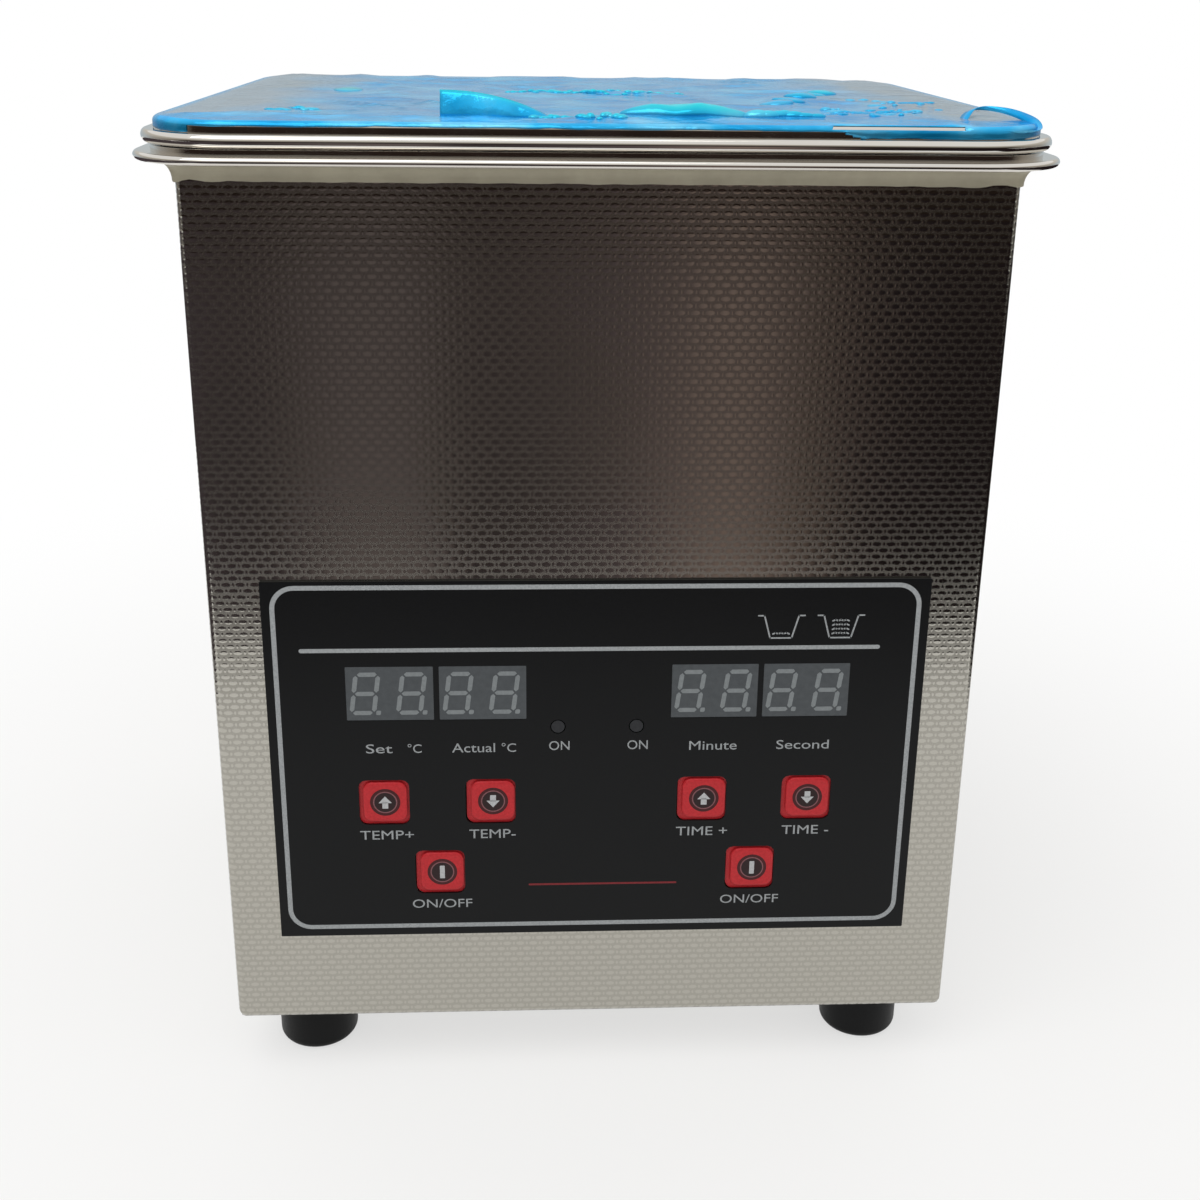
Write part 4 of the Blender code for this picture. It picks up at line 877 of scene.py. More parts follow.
@dataclass
class Film:
    """Transit film on the lid: a wrinkled cover turned over the shoulder, with a standing flap, a tunnel,
    blisters and a loop pulled off one corner."""

    lid: Lid
    sheet: float = 0.08 * MM
    lift: float = 0.12 * MM
    flat: Vec2 = (173 * MM, 159 * MM)
    rings: int = 38
    side_cuts: int = 76
    corner_steps: int = 10
    shoulder_end: float = 10.0
    ragged: float = 0.3 * MM
    crumple: float = 0.9 * MM
    wall_drops: Vec3 = (1.05 * MM, 0.65 * MM, 0.25 * MM)
    hang_back: float = 58 * MM
    hang_left: float = 75 * MM
    settle: float = 6 * MM
    loose_from: float = 52 * MM
    loose_to: float = 70 * MM
    loose_front: float = -66 * MM
    wrinkle: float = 0.30 * MM
    wrinkle_size: float = 14 * MM
    fold: float = 0.55 * MM
    fold_size: float = 21 * MM
    fold_from: float = 0.72
    torn_ends: Vec2 = (12 * MM, 16 * MM)
    veil: Vec2 = (0.16, 24 * MM)
    loose_fade: Vec2 = (4 * MM, 1.5 * MM)
    tear_size: float = 5 * MM
    crumple_size: float = 2.5 * MM
    fray_size: float = 1.7 * MM
    # Strength of the painted shade where the film turns down the shoulder.
    turned_shade: float = 0.75
    bare_from: float = 41 * MM
    bare_to: float = 67 * MM
    flap_span: Vec2 = (-30.5 * MM, -8.5 * MM)
    flap_y: float = -66 * MM
    flap_height: float = 5.0 * MM
    flap_lean: float = 1.4 * MM
    flap_crinkle: Vec2 = (0.7 * MM, 5 * MM)
    ridge_start: Vec2 = (39 * MM, -26 * MM)
    ridge_step: Vec2 = (4.2 * MM, 10 * MM)
    ridge_size: Vec2 = (4.0 * MM, 3.4 * MM)
    # Strength of the painted shade round the blisters' feet.
    shade: float = 0.4
    tunnel: tuple[Vec2, Vec2, float] = ((15.8 * MM, -62 * MM), (12.8 * MM, 3.6 * MM), 2.2 * MM)
    loop_width: float = 2.4 * MM
    loop_path: tuple[Vec3, ...] = (
        (71 * MM, -60 * MM, 0.3 * MM),
        (74 * MM, -57 * MM, 2.4 * MM),
        (79 * MM, -60 * MM, 2.4 * MM),
        (82.4 * MM, -66 * MM, 1.1 * MM),
        (82.2 * MM, -71 * MM, -0.4 * MM),
        (78.5 * MM, -75 * MM, -0.6 * MM),
        (72 * MM, -76.6 * MM, -0.4 * MM),
    )

    def rise(self, x: float, y: float) -> float:
        """Height of the cover above the lid's top, from soft wrinkles and sharper folds.

        Args:
            x: place across the lid.
            y: place along it.

        Returns:
            Height, never below the lift.
        """
        spot = Vector((x, y, 0.0))
        rim = [half - self.lid.shoulder - abs(at) for half, at in zip(self.lid.wall_half, (x, y))]
        loose = min(max(min(rim) / self.settle, 0.0), 1.0)
        soft = 0.5 + 0.5 * noise.fractal(spot / self.wrinkle_size, 1.0, 2.0, 3)
        sharp = 1.0 - abs(noise.noise(spot / self.fold_size + Vector((3.1, 0.0, 0.0))))
        crest = max(sharp - self.fold_from, 0.0) / (1.0 - self.fold_from)
        waves = max(self.wrinkle * soft, 0.0) + self.fold * crest
        return self.lift + loose * waves

    def looseness(self, x: float, y: float) -> float:
        """Share of the film that has let go of the lid at a place, from 0 to 1."""
        spot = Vector((x, y, 0.0))
        ragged = self.torn_ends[0] * noise.noise(spot / self.torn_ends[1])
        drift = noise.noise(spot / self.veil[1] + Vector((0.0, 4.2, 0.0)))
        veil = self.veil[0] * max(drift + 0.25, 0.0)
        ends = (abs(x) + ragged - self.loose_from) / (self.loose_to - self.loose_from)
        inside = (y - self.loose_front) / self.loose_fade[0]
        edge = (self.lid.wall_half[0] - self.lid.shoulder - abs(x)) / self.loose_fade[1]
        return min(max(min(max(ends, veil), inside, edge), 0.0), 1.0)

    def hangs(self, place: Vector) -> bool:
        """Whether the film reaches down the wall at a place: under the bare edge and at the left corner."""
        slant = 4.0 * (self.lid.top - place.z)
        beyond = place.x > self.bare_from - 2 * MM + slant or place.x < -self.hang_left
        return place.y < -self.hang_back and beyond

    def add_cover(self, bm: Bm) -> None:
        """Bridge outlines from the wall to the middle, cut the film back, and wrinkle what is left.

        Args:
            bm: empty mesh that gets the cover.
        """
        lid = self.lid
        radius = lid.shoulder + self.lift
        centre = lid.top - lid.shoulder
        sections = [lid.section(self.lift, centre - drop) for drop in self.wall_drops]
        sections += [
            lid.section(radius * math.cos(a) - lid.shoulder, centre + radius * math.sin(a))
            for a in quarter(self.shoulder_end, 90, 5)
        ]
        reach = lid.wall_half[1] - lid.shoulder
        for ring in range(1, self.rings):
            inset = reach * ring / self.rings
            corner = max(lid.corner - lid.shoulder - inset, 0.8 * MM)
            half_x = lid.wall_half[0] - lid.shoulder - inset
            half_y = lid.wall_half[1] - lid.shoulder - inset
            sections.append(Section(half_x, half_y, corner, lid.top + self.lift))
        loops = [rounded_loop(bm, section, self.corner_steps, self.side_cuts) for section in sections]
        bmesh.ops.contextual_create(bm, geom=loops[-1])
        for first, second in zip(loops, loops[1:]):
            bridge(bm, first, second)
        turned = centre + radius * math.sin(math.radians(self.shoulder_end))
        cut = []
        for face in bm.faces:
            middle = face.calc_center_median()
            on_front = middle.y < -reach and self.bare_from < middle.x < self.bare_to
            bare = on_front and middle.z > lid.top - 0.45 * lid.shoulder
            if bare or (middle.z < turned and not self.hangs(middle)):
                cut.append(face)
        bmesh.ops.delete(bm, geom=cut, context="FACES")
        loose = bm.verts.layers.float["loose"]
        deep = bm.verts.layers.float["deep"]
        for vert in bm.verts:
            spot = vert.co.copy()
            # Painted shade: the film darkens as it turns down over the shoulder.
            vert[deep] = self.turned_shade * min(max((lid.top - spot.z) / lid.shoulder, 0.0), 1.0)
            if vert.is_boundary and spot.y < -reach:
                vert.co.x += self.crumple * noise.noise(spot / self.fray_size)
            if spot.z > lid.top + self.lift * 0.5:
                vert.co.z = lid.top + self.rise(spot.x, spot.y)
                vert[loose] = self.looseness(spot.x, spot.y)
            elif spot.z < turned + self.sheet:
                tear = noise.fractal(spot / self.tear_size, 1.0, 2.0, 3)
                vert.co.z += self.ragged * tear * vert.is_boundary
                bulge = max(noise.noise(spot / self.crumple_size), 0.0)
                vert.co.y -= self.crumple * bulge * (spot.y < -reach)

    def add_flap(self, bm: Bm) -> None:
        """Stand a tapering flap on the cover, with a painted highlight along its top edge and painted shade
        in its crinkles.

        Args:
            bm: mesh that gets the flap.
        """
        verts = bmesh.ops.create_grid(bm, x_segments=30, y_segments=6, size=0.5)["verts"]
        start, end = self.flap_span
        painted_highlight = bm.verts.layers.float["painted_highlight"]
        deep = bm.verts.layers.float["deep"]
        for vert in verts:
            along, up = vert.co.x + 0.5, vert.co.y + 0.5
            x = start + (end - start) * along
            height = self.flap_height * (1.0 - along**2.2)
            crinkle = noise.noise(Vector((x, up * height, 0.0)) / self.flap_crinkle[1])
            y = self.flap_y + self.flap_lean * up * up + self.flap_crinkle[0] * crinkle * up
            # Painted highlight along the flap's top edge and a little all over; painted shade in its crinkles
            # below it.
            vert[painted_highlight] = 0.1 + 0.5 * up**8
            vert[deep] = max(0.12 + 0.5 * crinkle, 0.0) * (1.0 - up**8)
            vert.co = (x - 0.8 * up * along * MM, y, self.lid.top + up * height + 0.1 * MM)

    def add_dome(
        self, bm: Bm, place: Vec2, size: Vec2, height: float, highlight_share: float, cuts: tuple[int, int] = (6, 6)
    ) -> None:
        """Add a blister on the cover, with a painted highlight on its crest and painted shade round its foot.

        Args:
            bm: mesh that gets the blister.
            place: its middle on the lid.
            size: half length and half width.
            height: how far it stands up.
            highlight_share: share of the painted highlight's colour on its crest.
            cuts: grid cells along it and across it.
        """
        verts = bmesh.ops.create_grid(bm, x_segments=cuts[0], y_segments=cuts[1], size=1.0)["verts"]
        painted_highlight = bm.verts.layers.float["painted_highlight"]
        deep = bm.verts.layers.float["deep"]
        for vert in verts:
            along, across = vert.co.x, vert.co.y * math.sqrt(max(1.0 - vert.co.x**2, 0.0)) ** 1.4
            x, y = place[0] + along * size[0], place[1] + across * size[1]
            swell = max(1.0 - vert.co.y**2, 0.0) ** 0.6 * max(1.0 - along**2, 0.0) ** 0.55
            # Painted highlight on the crest, painted shade on the flanks and foot.
            vert[painted_highlight] = highlight_share * swell
            vert[deep] = self.shade * (1.0 - swell)
            ripple = 1.0 + 0.18 * noise.noise(Vector((x, y, 0.0)) / (4 * MM))
            foot = self.lid.top + self.rise(x, y) - self.sheet
            vert.co = (x, y, foot + height * swell * ripple)

    def add_blisters(self, bm: Bm) -> None:
        """Add the long tunnel and a crumple beside it, a slanting ridge, a low swell and small blisters.

        Args:
            bm: mesh that gets the blisters.
        """
        place, size, height = self.tunnel
        self.add_dome(bm, place, size, height, 1.0, (36, 14))
        for step in range(7):
            spread = scatter(Vector((step * 3.7, 1.3, 0.4)))
            x = place[0] + size[0] + (1.0 + 1.8 * step) * MM
            half = ((2.6 + spread.x) * MM, (1.3 + 0.8 * spread.z) * MM)
            spot = (x, place[1] + 3.2 * spread.y * MM)
            self.add_dome(bm, spot, half, (1.5 - 0.15 * step) * MM, 0.5, (10, 10))
        for step in range(5):
            ridge = tuple(start + step * run for start, run in zip(self.ridge_start, self.ridge_step))
            self.add_dome(bm, ridge, self.ridge_size, 0.9 * MM, 0.2 + 0.16 * step, (10, 8))
        self.add_dome(bm, (-56 * MM, 12 * MM), (3.6 * MM, 6.0 * MM), 0.6 * MM, 1.0, (14, 14))
        for seed, cluster in enumerate(CLUSTERS):
            for step in range(cluster.count):
                jitter = scatter(Vector((step * 2.9, seed * 7.3, 0.7)))
                along = (step / (cluster.count - 1) * 2 - 1) * cluster.spread[0]
                x = cluster.place[0] + along
                y = cluster.place[1] + jitter.y * cluster.spread[1] * 2
                half = (1.2 + 1.1 * jitter.x) * MM
                tall = cluster.tall * (1.0 + 1.2 * jitter.z)
                self.add_dome(bm, (x, y), (half, half * (0.7 + 0.5 * jitter.z)), tall, cluster.highlight_share)

    def add_loop(self, bm: Bm) -> None:
        """Draw a ribbon of film along the loop at the front right corner.

        Args:
            bm: mesh that gets the ribbon.
        """
        corner = [Vector(point) + Vector((0.0, 0.0, self.lid.top)) for point in self.loop_path]
        path = []
        for index in range(len(corner) - 1):
            before, after = corner[max(index - 1, 0)], corner[min(index + 2, len(corner) - 1)]
            first = corner[index] + (corner[index + 1] - before) / 6
            second = corner[index + 1] - (after - corner[index]) / 6
            path += geometry.interpolate_bezier(corner[index], first, second, corner[index + 1], 9)[:-1]
        inward = Vector((-0.75, 0.55, -0.35)) * self.loop_width
        verts = [bm.verts.new(path[0]), bm.verts.new(path[0] + inward)]
        edge = bm.edges.new(verts)
        for here, there in zip(path, path[1:]):
            made = bmesh.ops.extrude_edge_only(bm, edges=[edge])["geom"]
            edge = next(item for item in made if isinstance(item, bmesh.types.BMEdge))
            verts = [item for item in made if isinstance(item, bmesh.types.BMVert)]
            bmesh.ops.translate(bm, verts=verts, vec=there - here)

    def build(self) -> None:
        bm = bmesh.new()
        for attribute in ("painted_highlight", "loose", "deep"):
            bm.verts.layers.float.new(attribute)
        self.add_cover(bm)
        self.add_flap(bm)
        self.add_blisters(bm)
        self.add_loop(bm)
        film = add_piece(
            "transit_film", bm, LID_FILM, Body.LID, ("protective_film",), sharp=60.0
        )
        shell = film.modifiers.new("film_thickness", "SOLIDIFY")
        shell.thickness = self.sheet
        shell.offset = 0.0


class Mark(Enum):
    """Sign printed on a key."""

    UP = "up"
    DOWN = "down"
    BAR = "bar"


@dataclass(frozen=True)
class KeySpec:
    """One key: its sign, the word under it with the width that it takes, and how far right it sits."""

    mark: Mark
    word: str
    word_width: float
    across: float


KEYS = {
    "temperature_up": KeySpec(Mark.UP, "TEMP+", 11.4 * MM, 0.2 * MM),
    "temperature_down": KeySpec(Mark.DOWN, "TEMP-", 9.9 * MM, 0.5 * MM),
    "time_up": KeySpec(Mark.UP, "TIME +", 11.1 * MM, 0.5 * MM),
    "time_down": KeySpec(Mark.DOWN, "TIME -", 10.2 * MM, 0.3 * MM),
    "heater_power": KeySpec(Mark.BAR, "ON/OFF", 12.9 * MM, 0.45 * MM),
    "timer_power": KeySpec(Mark.BAR, "ON/OFF", 12.8 * MM, 0.5 * MM),
}
DISPLAYS = {
    "set_temperature": (("Set", 5.5 * MM, -2.6 * MM), ("°C", 2.9 * MM, 4.8 * MM)),
    "actual_temperature": (("Actual", 9.0 * MM, -2.1 * MM), ("°C", 3.0 * MM, 5.3 * MM)),
    "minutes": (("Minute", 10.1 * MM, 0.1 * MM),),
    "seconds": (("Second", 11.2 * MM, 0.0),),
}
LAMPS = {"heater": (("ON", 4.3 * MM, 0.0),), "timer": (("ON", 4.3 * MM, 0.0),)}


def front_place(node: str) -> Matrix:
    """Frame on a front node's outer face: x to the right, y up, z out towards the user.

    Args:
        node: CAD node on the front wall.

    Returns:
        Matrix from that frame to the scene.
    """
    low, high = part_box(node)
    centre = Vector(((low.x + high.x) / 2, low.y, (low.z + high.z) / 2))
    return Matrix.Translation(centre) @ Matrix.Rotation(math.pi / 2, 4, "X")


def moved(bm: Bm, verts: Verts, x: float, y: float, turn: float = 0.0) -> None:
    """Turn new vertices about the origin, in degrees, and then move them on the panel."""
    bmesh.ops.rotate(bm, verts=verts, cent=(0, 0, 0), matrix=Matrix.Rotation(math.radians(turn), 3, "Z"))
    bmesh.ops.translate(bm, verts=verts, vec=(x, y, 0.0))


def add_bar(
    bm: Bm, size: Vec2, corner: float, place: Vec2, depth: float, turn: float = 0.0, steps: int = 4
) -> None:
    """Add a printed bar with rounded ends.

    Args:
        bm: mesh that gets the bar.
        size: length and width.
        corner: corner radius.
        place: centre on the panel.
        depth: thickness of the print.
        turn: angle on the panel, in degrees.
        steps: edges along each corner.
    """
    verts = thicken(bm, rounded_face(bm, size, corner, steps), 0.0, depth)
    moved(bm, verts, place[0], place[1], turn)


def add_frame(
    bm: Bm, size: Vec2, corner: float, line: float, place: Vec2, depth: float, steps: int = 10
) -> None:
    """Add a printed outline with rounded corners.

    Args:
        bm: mesh that gets the outline.
        size: width and height of the line's outer edge.
        corner: outer corner radius.
        line: width of the line.
        place: centre on the panel.
        depth: thickness of the print.
        steps: edges along each corner.
    """
    outer = rounded_face(bm, size, corner, steps)
    inner = rounded_face(bm, (size[0] - 2 * line, size[1] - 2 * line), corner - line, steps)
    outer_line, inner_line = list(outer.edges), list(inner.edges)
    bmesh.ops.delete(bm, geom=[outer, inner], context="FACES_ONLY")
    faces = bridge(bm, outer_line, inner_line)
    back = list({vert for face in faces for vert in face.verts})
    made = bmesh.ops.extrude_face_region(bm, geom=faces)["geom"]
    front = [item for item in made if isinstance(item, bmesh.types.BMVert)]
    bmesh.ops.translate(bm, verts=front, vec=(0.0, 0.0, depth))
    moved(bm, back + front, place[0], place[1])


def add_word(
    bm: Bm, text: str, width: float, cap: float, centre_x: float, baseline: float, depth: float
) -> None:
    """Add printed lettering, fitted to a width and a capital height.

    Args:
        bm: mesh that gets the letters.
        text: words to print, without descenders.
        width: width of the whole line.
        cap: height of a capital.
        centre_x: middle of the line on the panel.
        baseline: height of its baseline on the panel.
        depth: thickness of the print.
    """
    curve = bpy.data.curves.new("lettering", "FONT")
    curve.body = text
    curve.resolution_u = 4
    curve.extrude = 0.5
    holder = bpy.data.objects.new("lettering", curve)
    mesh = bpy.data.meshes.new_from_object(holder)
    before = set(bm.verts)
    bm.from_mesh(mesh)
    verts = [vert for vert in bm.verts if vert not in before]
    low = Vector(min(vert.co[axis] for vert in verts) for axis in range(3))
    high = Vector(max(vert.co[axis] for vert in verts) for axis in range(3))
    bmesh.ops.translate(bm, verts=verts, vec=(-(low.x + high.x) / 2, -low.y, -low.z))
    drawn = high - low
    bmesh.ops.scale(bm, verts=verts, vec=(width / drawn.x, cap / drawn.y, depth / drawn.z))
    bmesh.ops.translate(bm, verts=verts, vec=(centre_x, baseline, 0.0))
    bmesh.ops.remove_doubles(bm, verts=verts, dist=1e-6)
    bpy.data.objects.remove(holder)
    bpy.data.curves.remove(curve)
    bpy.data.meshes.remove(mesh)


@dataclass
class Panel:
    """Print on the overlay: a frame, a rule under the title strip, words and two level signs."""

    ink: float = 0.03 * MM
    frame_size: Vec2 = (133.2 * MM, 80.4 * MM)
    frame_place: Vec2 = (0.0, 0.45 * MM)
    frame_corner: float = 5.0 * MM
    frame_line: float = 1.0 * MM
    rule: Vec2 = (119.8 * MM, 0.9 * MM)
    rule_place: Vec2 = (-1.3 * MM, 26.35 * MM)
    cap: float = 2.1 * MM
    display_word_drop: float = 13.7 * MM
    lamp_word_drop: float = 5.65 * MM
    key_word_drop: float = 9.1 * MM
    word_shift: Vec2 = (0.3 * MM, 0.2 * MM)
    underline: Vec2 = (32.2 * MM, 0.45 * MM)
    underline_place: Vec2 = (1.6 * MM, -29.35 * MM)
    sign_size: Vec2 = (9.6 * MM, 5.0 * MM)
    sign_places: tuple[Vec2, Vec2] = ((37.75 * MM, 31.0 * MM), (50.1 * MM, 31.0 * MM))
    sign_line: float = 0.32 * MM
    lens: float = 2.8 * MM
    lens_depth: float = 0.12 * MM

    def spot(self, node: str) -> Vec2:
        """Centre of a front node on the panel."""
        low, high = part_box(node)
        at = self.place.inverted() @ ((low + high) / 2)
        return at.x, at.y

    def add_words(self, bm: Bm) -> None:
        """Print the word under each display, lamp and key."""
        rows = (("display", DISPLAYS, self.display_word_drop), ("lamp", LAMPS, self.lamp_word_drop))
        for kind, names, drop in rows:
            for name, words in names.items():
                x, y = self.spot(f"{kind}_{name}")
                for word, width, across in words:
                    centre = x + across + self.word_shift[0]
                    add_word(bm, word, width, self.cap, centre, y - drop + self.word_shift[1], self.ink)
        for name, key in KEYS.items():
            x, y = self.spot(f"key_{name}")
            baseline = y - self.key_word_drop + self.word_shift[1]
            add_word(bm, key.word, key.word_width, self.cap, x + self.word_shift[0], baseline, self.ink)

    def add_stroke(self, bm: Bm, start: Vec2, end: Vec2) -> None:
        """Draw a straight line of a sign.

        Args:
            bm: mesh that gets the line.
            start: one end on the panel.
            end: the other.
        """
        run = Vector(end) - Vector(start)
        middle = (Vector(start) + Vector(end)) / 2
        size = (run.length + self.sign_line, self.sign_line)
        add_bar(bm, size, size[1] * 0.45, tuple(middle), self.ink, math.degrees(math.atan2(run.y, run.x)), 2)

    def add_signs(self, bm: Bm) -> None:
        """Draw two open tanks with lips, one with a single water line and one with four."""
        width, height = self.sign_size
        for (x, y), levels in zip(self.sign_places, (1, 4)):
            rim, foot = 0.373 * width, 0.233 * width
            top, bottom = y + height / 2, y - height / 2
            outline = [(-width / 2, top), (-rim, top), (-foot, bottom)]
            outline += [(foot, bottom), (rim, top), (width / 2, top)]
            for start, end in zip(outline, outline[1:]):
                self.add_stroke(bm, (x + start[0], start[1]), (x + end[0], end[1]))
            for level in range(levels):
                surface = bottom + (0.18 + 0.19 * level) * height
                wave = [(x + foot * (step / 4 - 0.75), surface + (step % 2) * 0.28 * MM) for step in range(7)]
                for start, end in zip(wave, wave[1:]):
                    self.add_stroke(bm, start, end)

    def build_lens(self, name: str) -> None:
        """Fill a lamp's hole with a smoked lens, flush with the overlay.

        Args:
            name: lamp's name without its prefix.
        """
        bm = bmesh.new()
        verts = bmesh.ops.create_circle(bm, cap_ends=True, segments=32, radius=self.lens / 2)["verts"]
        thicken(bm, verts[0].link_faces[0], -self.lens_depth, 0.0)
        x, y = self.spot(f"lamp_{name}")
        moved(bm, list(bm.verts), x, y)
        bmesh.ops.transform(bm, matrix=self.place, verts=bm.verts)
        add_piece(f"lamp_lens_{name}", bm, LAMP_LENS, Body.BASE)

    def build(self) -> None:
        """Print the overlay in grey, with one red line."""
        self.place = front_place("front_overlay")
        grey = bmesh.new()
        add_frame(grey, self.frame_size, self.frame_corner, self.frame_line, self.frame_place, self.ink)
        add_bar(grey, self.rule, self.rule[1] * 0.45, self.rule_place, self.ink)
        self.add_words(grey)
        self.add_signs(grey)
        bmesh.ops.transform(grey, matrix=self.place, verts=grey.verts)
        add_piece("panel_print_grey", grey, GREY_INK, Body.BASE)
        red = bmesh.new()
        add_bar(red, self.underline, self.underline[1] * 0.45, self.underline_place, self.ink)
        bmesh.ops.transform(red, matrix=self.place, verts=red.verts)
        add_piece("panel_print_red", red, RED_INK, Body.BASE)
        for name in LAMPS:
            self.build_lens(name)


@dataclass
class Display:
    """A tinted window over a two-digit display: seven hexagonal bars and a point for each digit."""

    window: Vec2 = (18.0 * MM, 12.1 * MM)
    shift: Vec2 = (0.3 * MM, 0.25 * MM)
    digit: Vec2 = (4.6 * MM, 8.7 * MM)
    digit_places: tuple[float, float] = (-5.1 * MM, 4.5 * MM)
    bar_width: float = 0.95 * MM
    bar_gap: float = 0.3 * MM
    point: float = 1.0 * MM
    point_drop: float = 4.35 * MM
    point_right: float = 3.25 * MM
    slant: float = 0.13
    depth: float = 0.03 * MM

    def build(self, name: str) -> None:
        """Lay the window on the overlay and print the bars on it.

        Args:
            name: display's name without its prefix.
        """
        width, height = self.digit
        half = height / 2
        level = ((0.0, half), (0.0, 0.0), (0.0, -half))
        upright = [(side * width / 2, rise * half / 2) for rise in (1, -1) for side in (-1, 1)]
        bars = [(place, width - 2 * self.bar_gap, 0.0) for place in level]
        bars += [(place, half - 2 * self.bar_gap, 90.0) for place in upright]
        bm = bmesh.new()
        for digit_x in self.digit_places:
            for (x, y), length, turn in bars:
                size = (length, self.bar_width)
                add_bar(bm, size, self.bar_width * 0.45, (digit_x + x, y), 2 * self.depth, turn, 1)
            point = (digit_x + self.point_right, -self.point_drop)
            add_bar(bm, (self.point, self.point), self.point * 0.3, point, 2 * self.depth)
        lean = Matrix.Identity(4)
        lean[0][1] = self.slant
        node = f"display_{name}"
        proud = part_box(node)[0].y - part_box("front_overlay")[0].y
        place = front_place(node) @ Matrix.Translation((self.shift[0], self.shift[1], proud))
        bmesh.ops.transform(bm, matrix=place @ lean, verts=bm.verts)
        add_piece(f"display_bars_{name}", bm, DISPLAY_BAR, Body.BASE)
        window = bmesh.new()
        add_bar(window, self.window, 0.2 * MM, (0.0, 0.0), self.depth)
        bmesh.ops.transform(window, matrix=place, verts=window.verts)
        add_piece(f"display_window_{name}", window, DISPLAY_FACE, Body.BASE)


@dataclass
class Key:
    """A square key with a pillowed edge and a round printed sign."""

    pad: float = 9.2 * MM
    rise: float = 0.2 * MM
    corner: float = 1.9 * MM
    lip: float = 1.0 * MM
    lip_front: float = 0.9 * MM
    pillow: Vec2 = (0.7 * MM, 0.28 * MM)
    rings: tuple[float, float, float] = (6.4 * MM, 5.1 * MM, 4.6 * MM)
    ink: float = 0.02 * MM
    arrow: Vec2 = (2.8 * MM, 2.9 * MM)
    stem: float = 1.25 * MM
    bar: Vec2 = (1.05 * MM, 3.1 * MM)
    turns: int = 40

    def add_cap(self, bm: Bm, depth: float) -> None:
        """Loft the pad and its trapped lip.

        Args:
            bm: empty mesh, on the key's own front frame.
            depth: thickness of the whole key.
        """
        half = self.pad / 2
        sections = []
        for a in quarter(90, 0, 5):
            inset = self.pillow[0] * (1 - math.cos(a))
            fall = self.pillow[1] * (1 - math.sin(a))
            sections.append(Section(half - inset, half - inset, self.corner - inset * 0.6, -fall))
        sections.append(Section(half, half, self.corner, -self.lip_front))
        sections.append(Section(half + self.lip, half + self.lip, self.corner, -self.lip_front))
        sections.append(Section(half + self.lip, half + self.lip, self.corner, -depth))
        loft(bm, sections, 6)

    def add_sign(self, bm: Bm, mark: Mark, depth: float) -> None:
        """Print an arrow or a bar.

        Args:
            bm: empty mesh, on the key's own front frame.
            mark: sign to print.
            depth: height of the print above the pad.
        """
        if mark is Mark.BAR:
            add_bar(bm, self.bar, 0.1 * MM, (0.0, 0.0), depth, steps=2)
            return
        width, height = self.arrow
        head = bmesh.ops.create_circle(bm, cap_ends=True, segments=3, radius=width / math.sqrt(3))["verts"]
        stretch = height * 0.55 / (width * math.sqrt(3) / 2)
        bmesh.ops.scale(bm, verts=head, vec=(1.0, stretch, 1.0))
        top = max(vert.co.y for vert in head)
        bmesh.ops.translate(bm, verts=head, vec=(0.0, height / 2 - top, 0.0))
        thicken(bm, head[0].link_faces[0], 0.0, depth)
        add_bar(bm, (self.stem, height * 0.5), 0.05 * MM, (0.0, -height * 0.25), depth, steps=1)
        turn = 180.0 if mark is Mark.DOWN else 0.0
        moved(bm, list(bm.verts), 0.0, 0.0, turn)

    def build(self, name: str, spec: KeySpec) -> None:
        """Replace a CAD key with its cap and print its rings and sign.

        Args:
            name: key's name without its prefix.
            spec: its sign and word.
        """
        node = f"key_{name}"
        low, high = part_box(node)
        place = front_place(node) @ Matrix.Translation((spec.across, self.rise, 0.0))
        body = f"{name}_button"
        cap = bmesh.new()
        self.add_cap(cap, high.y - low.y)
        bmesh.ops.transform(cap, matrix=place, verts=cap.verts)
        add_piece(f"{node}_cap", cap, KEY_FILM, body, (node,), sharp=50.0)
        for step, (diameter, finish) in enumerate(zip(self.rings, (MAROON_INK, PINK_INK, OXBLOOD_INK)), 1):
            disc = bmesh.new()
            bmesh.ops.create_circle(disc, cap_ends=True, segments=self.turns, radius=diameter / 2)
            disc.faces.ensure_lookup_table()
            thicken(disc, disc.faces[0], 0.0, step * self.ink)
            bmesh.ops.transform(disc, matrix=place, verts=disc.verts)
            add_piece(f"{node}_ring_{step}", disc, finish, body)
        sign = bmesh.new()
        self.add_sign(sign, spec.mark, (len(self.rings) + 1) * self.ink)
        bmesh.ops.transform(sign, matrix=place, verts=sign.verts)
        add_piece(f"{node}_sign", sign, WHITE_INK, body)


@dataclass
class Inlet:
    """Plated sleeves on the three pins of the mains inlet."""

    pin: Vec2 = (2.2 * MM, 4.2 * MM)
    length: float = 12 * MM
    recess: float = 4.95 * MM
    spacing: float = 7 * MM
    earth_rise: float = 3 * MM

    def build(self) -> None:
        """Sleeve each pin, the earth pin a little higher than the others."""
        low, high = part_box("mains_inlet")
        for name, step, rise in (("line", -1, 0.0), ("earth", 0, self.earth_rise), ("neutral", 1, 0.0)):
            middle_x = (low.x + high.x) / 2 + step * self.spacing
            middle_z = (low.z + high.z) / 2 + rise
            middle_y = high.y - self.recess - self.length / 2
            bm = bmesh.new()
            bmesh.ops.create_cube(bm, size=1.0)
            bmesh.ops.scale(bm, verts=bm.verts, vec=(self.pin[0], self.length, self.pin[1]))
            bmesh.ops.bevel(
                bm, geom=bm.edges, offset=0.3 * MM, affect="EDGES", segments=2, profile=0.5, material=-1
            )
            bmesh.ops.translate(bm, verts=bm.verts, vec=(middle_x, middle_y, middle_z))
            add_piece(f"inlet_pin_{name}", bm, ZINC_PLATE, Body.BASE)


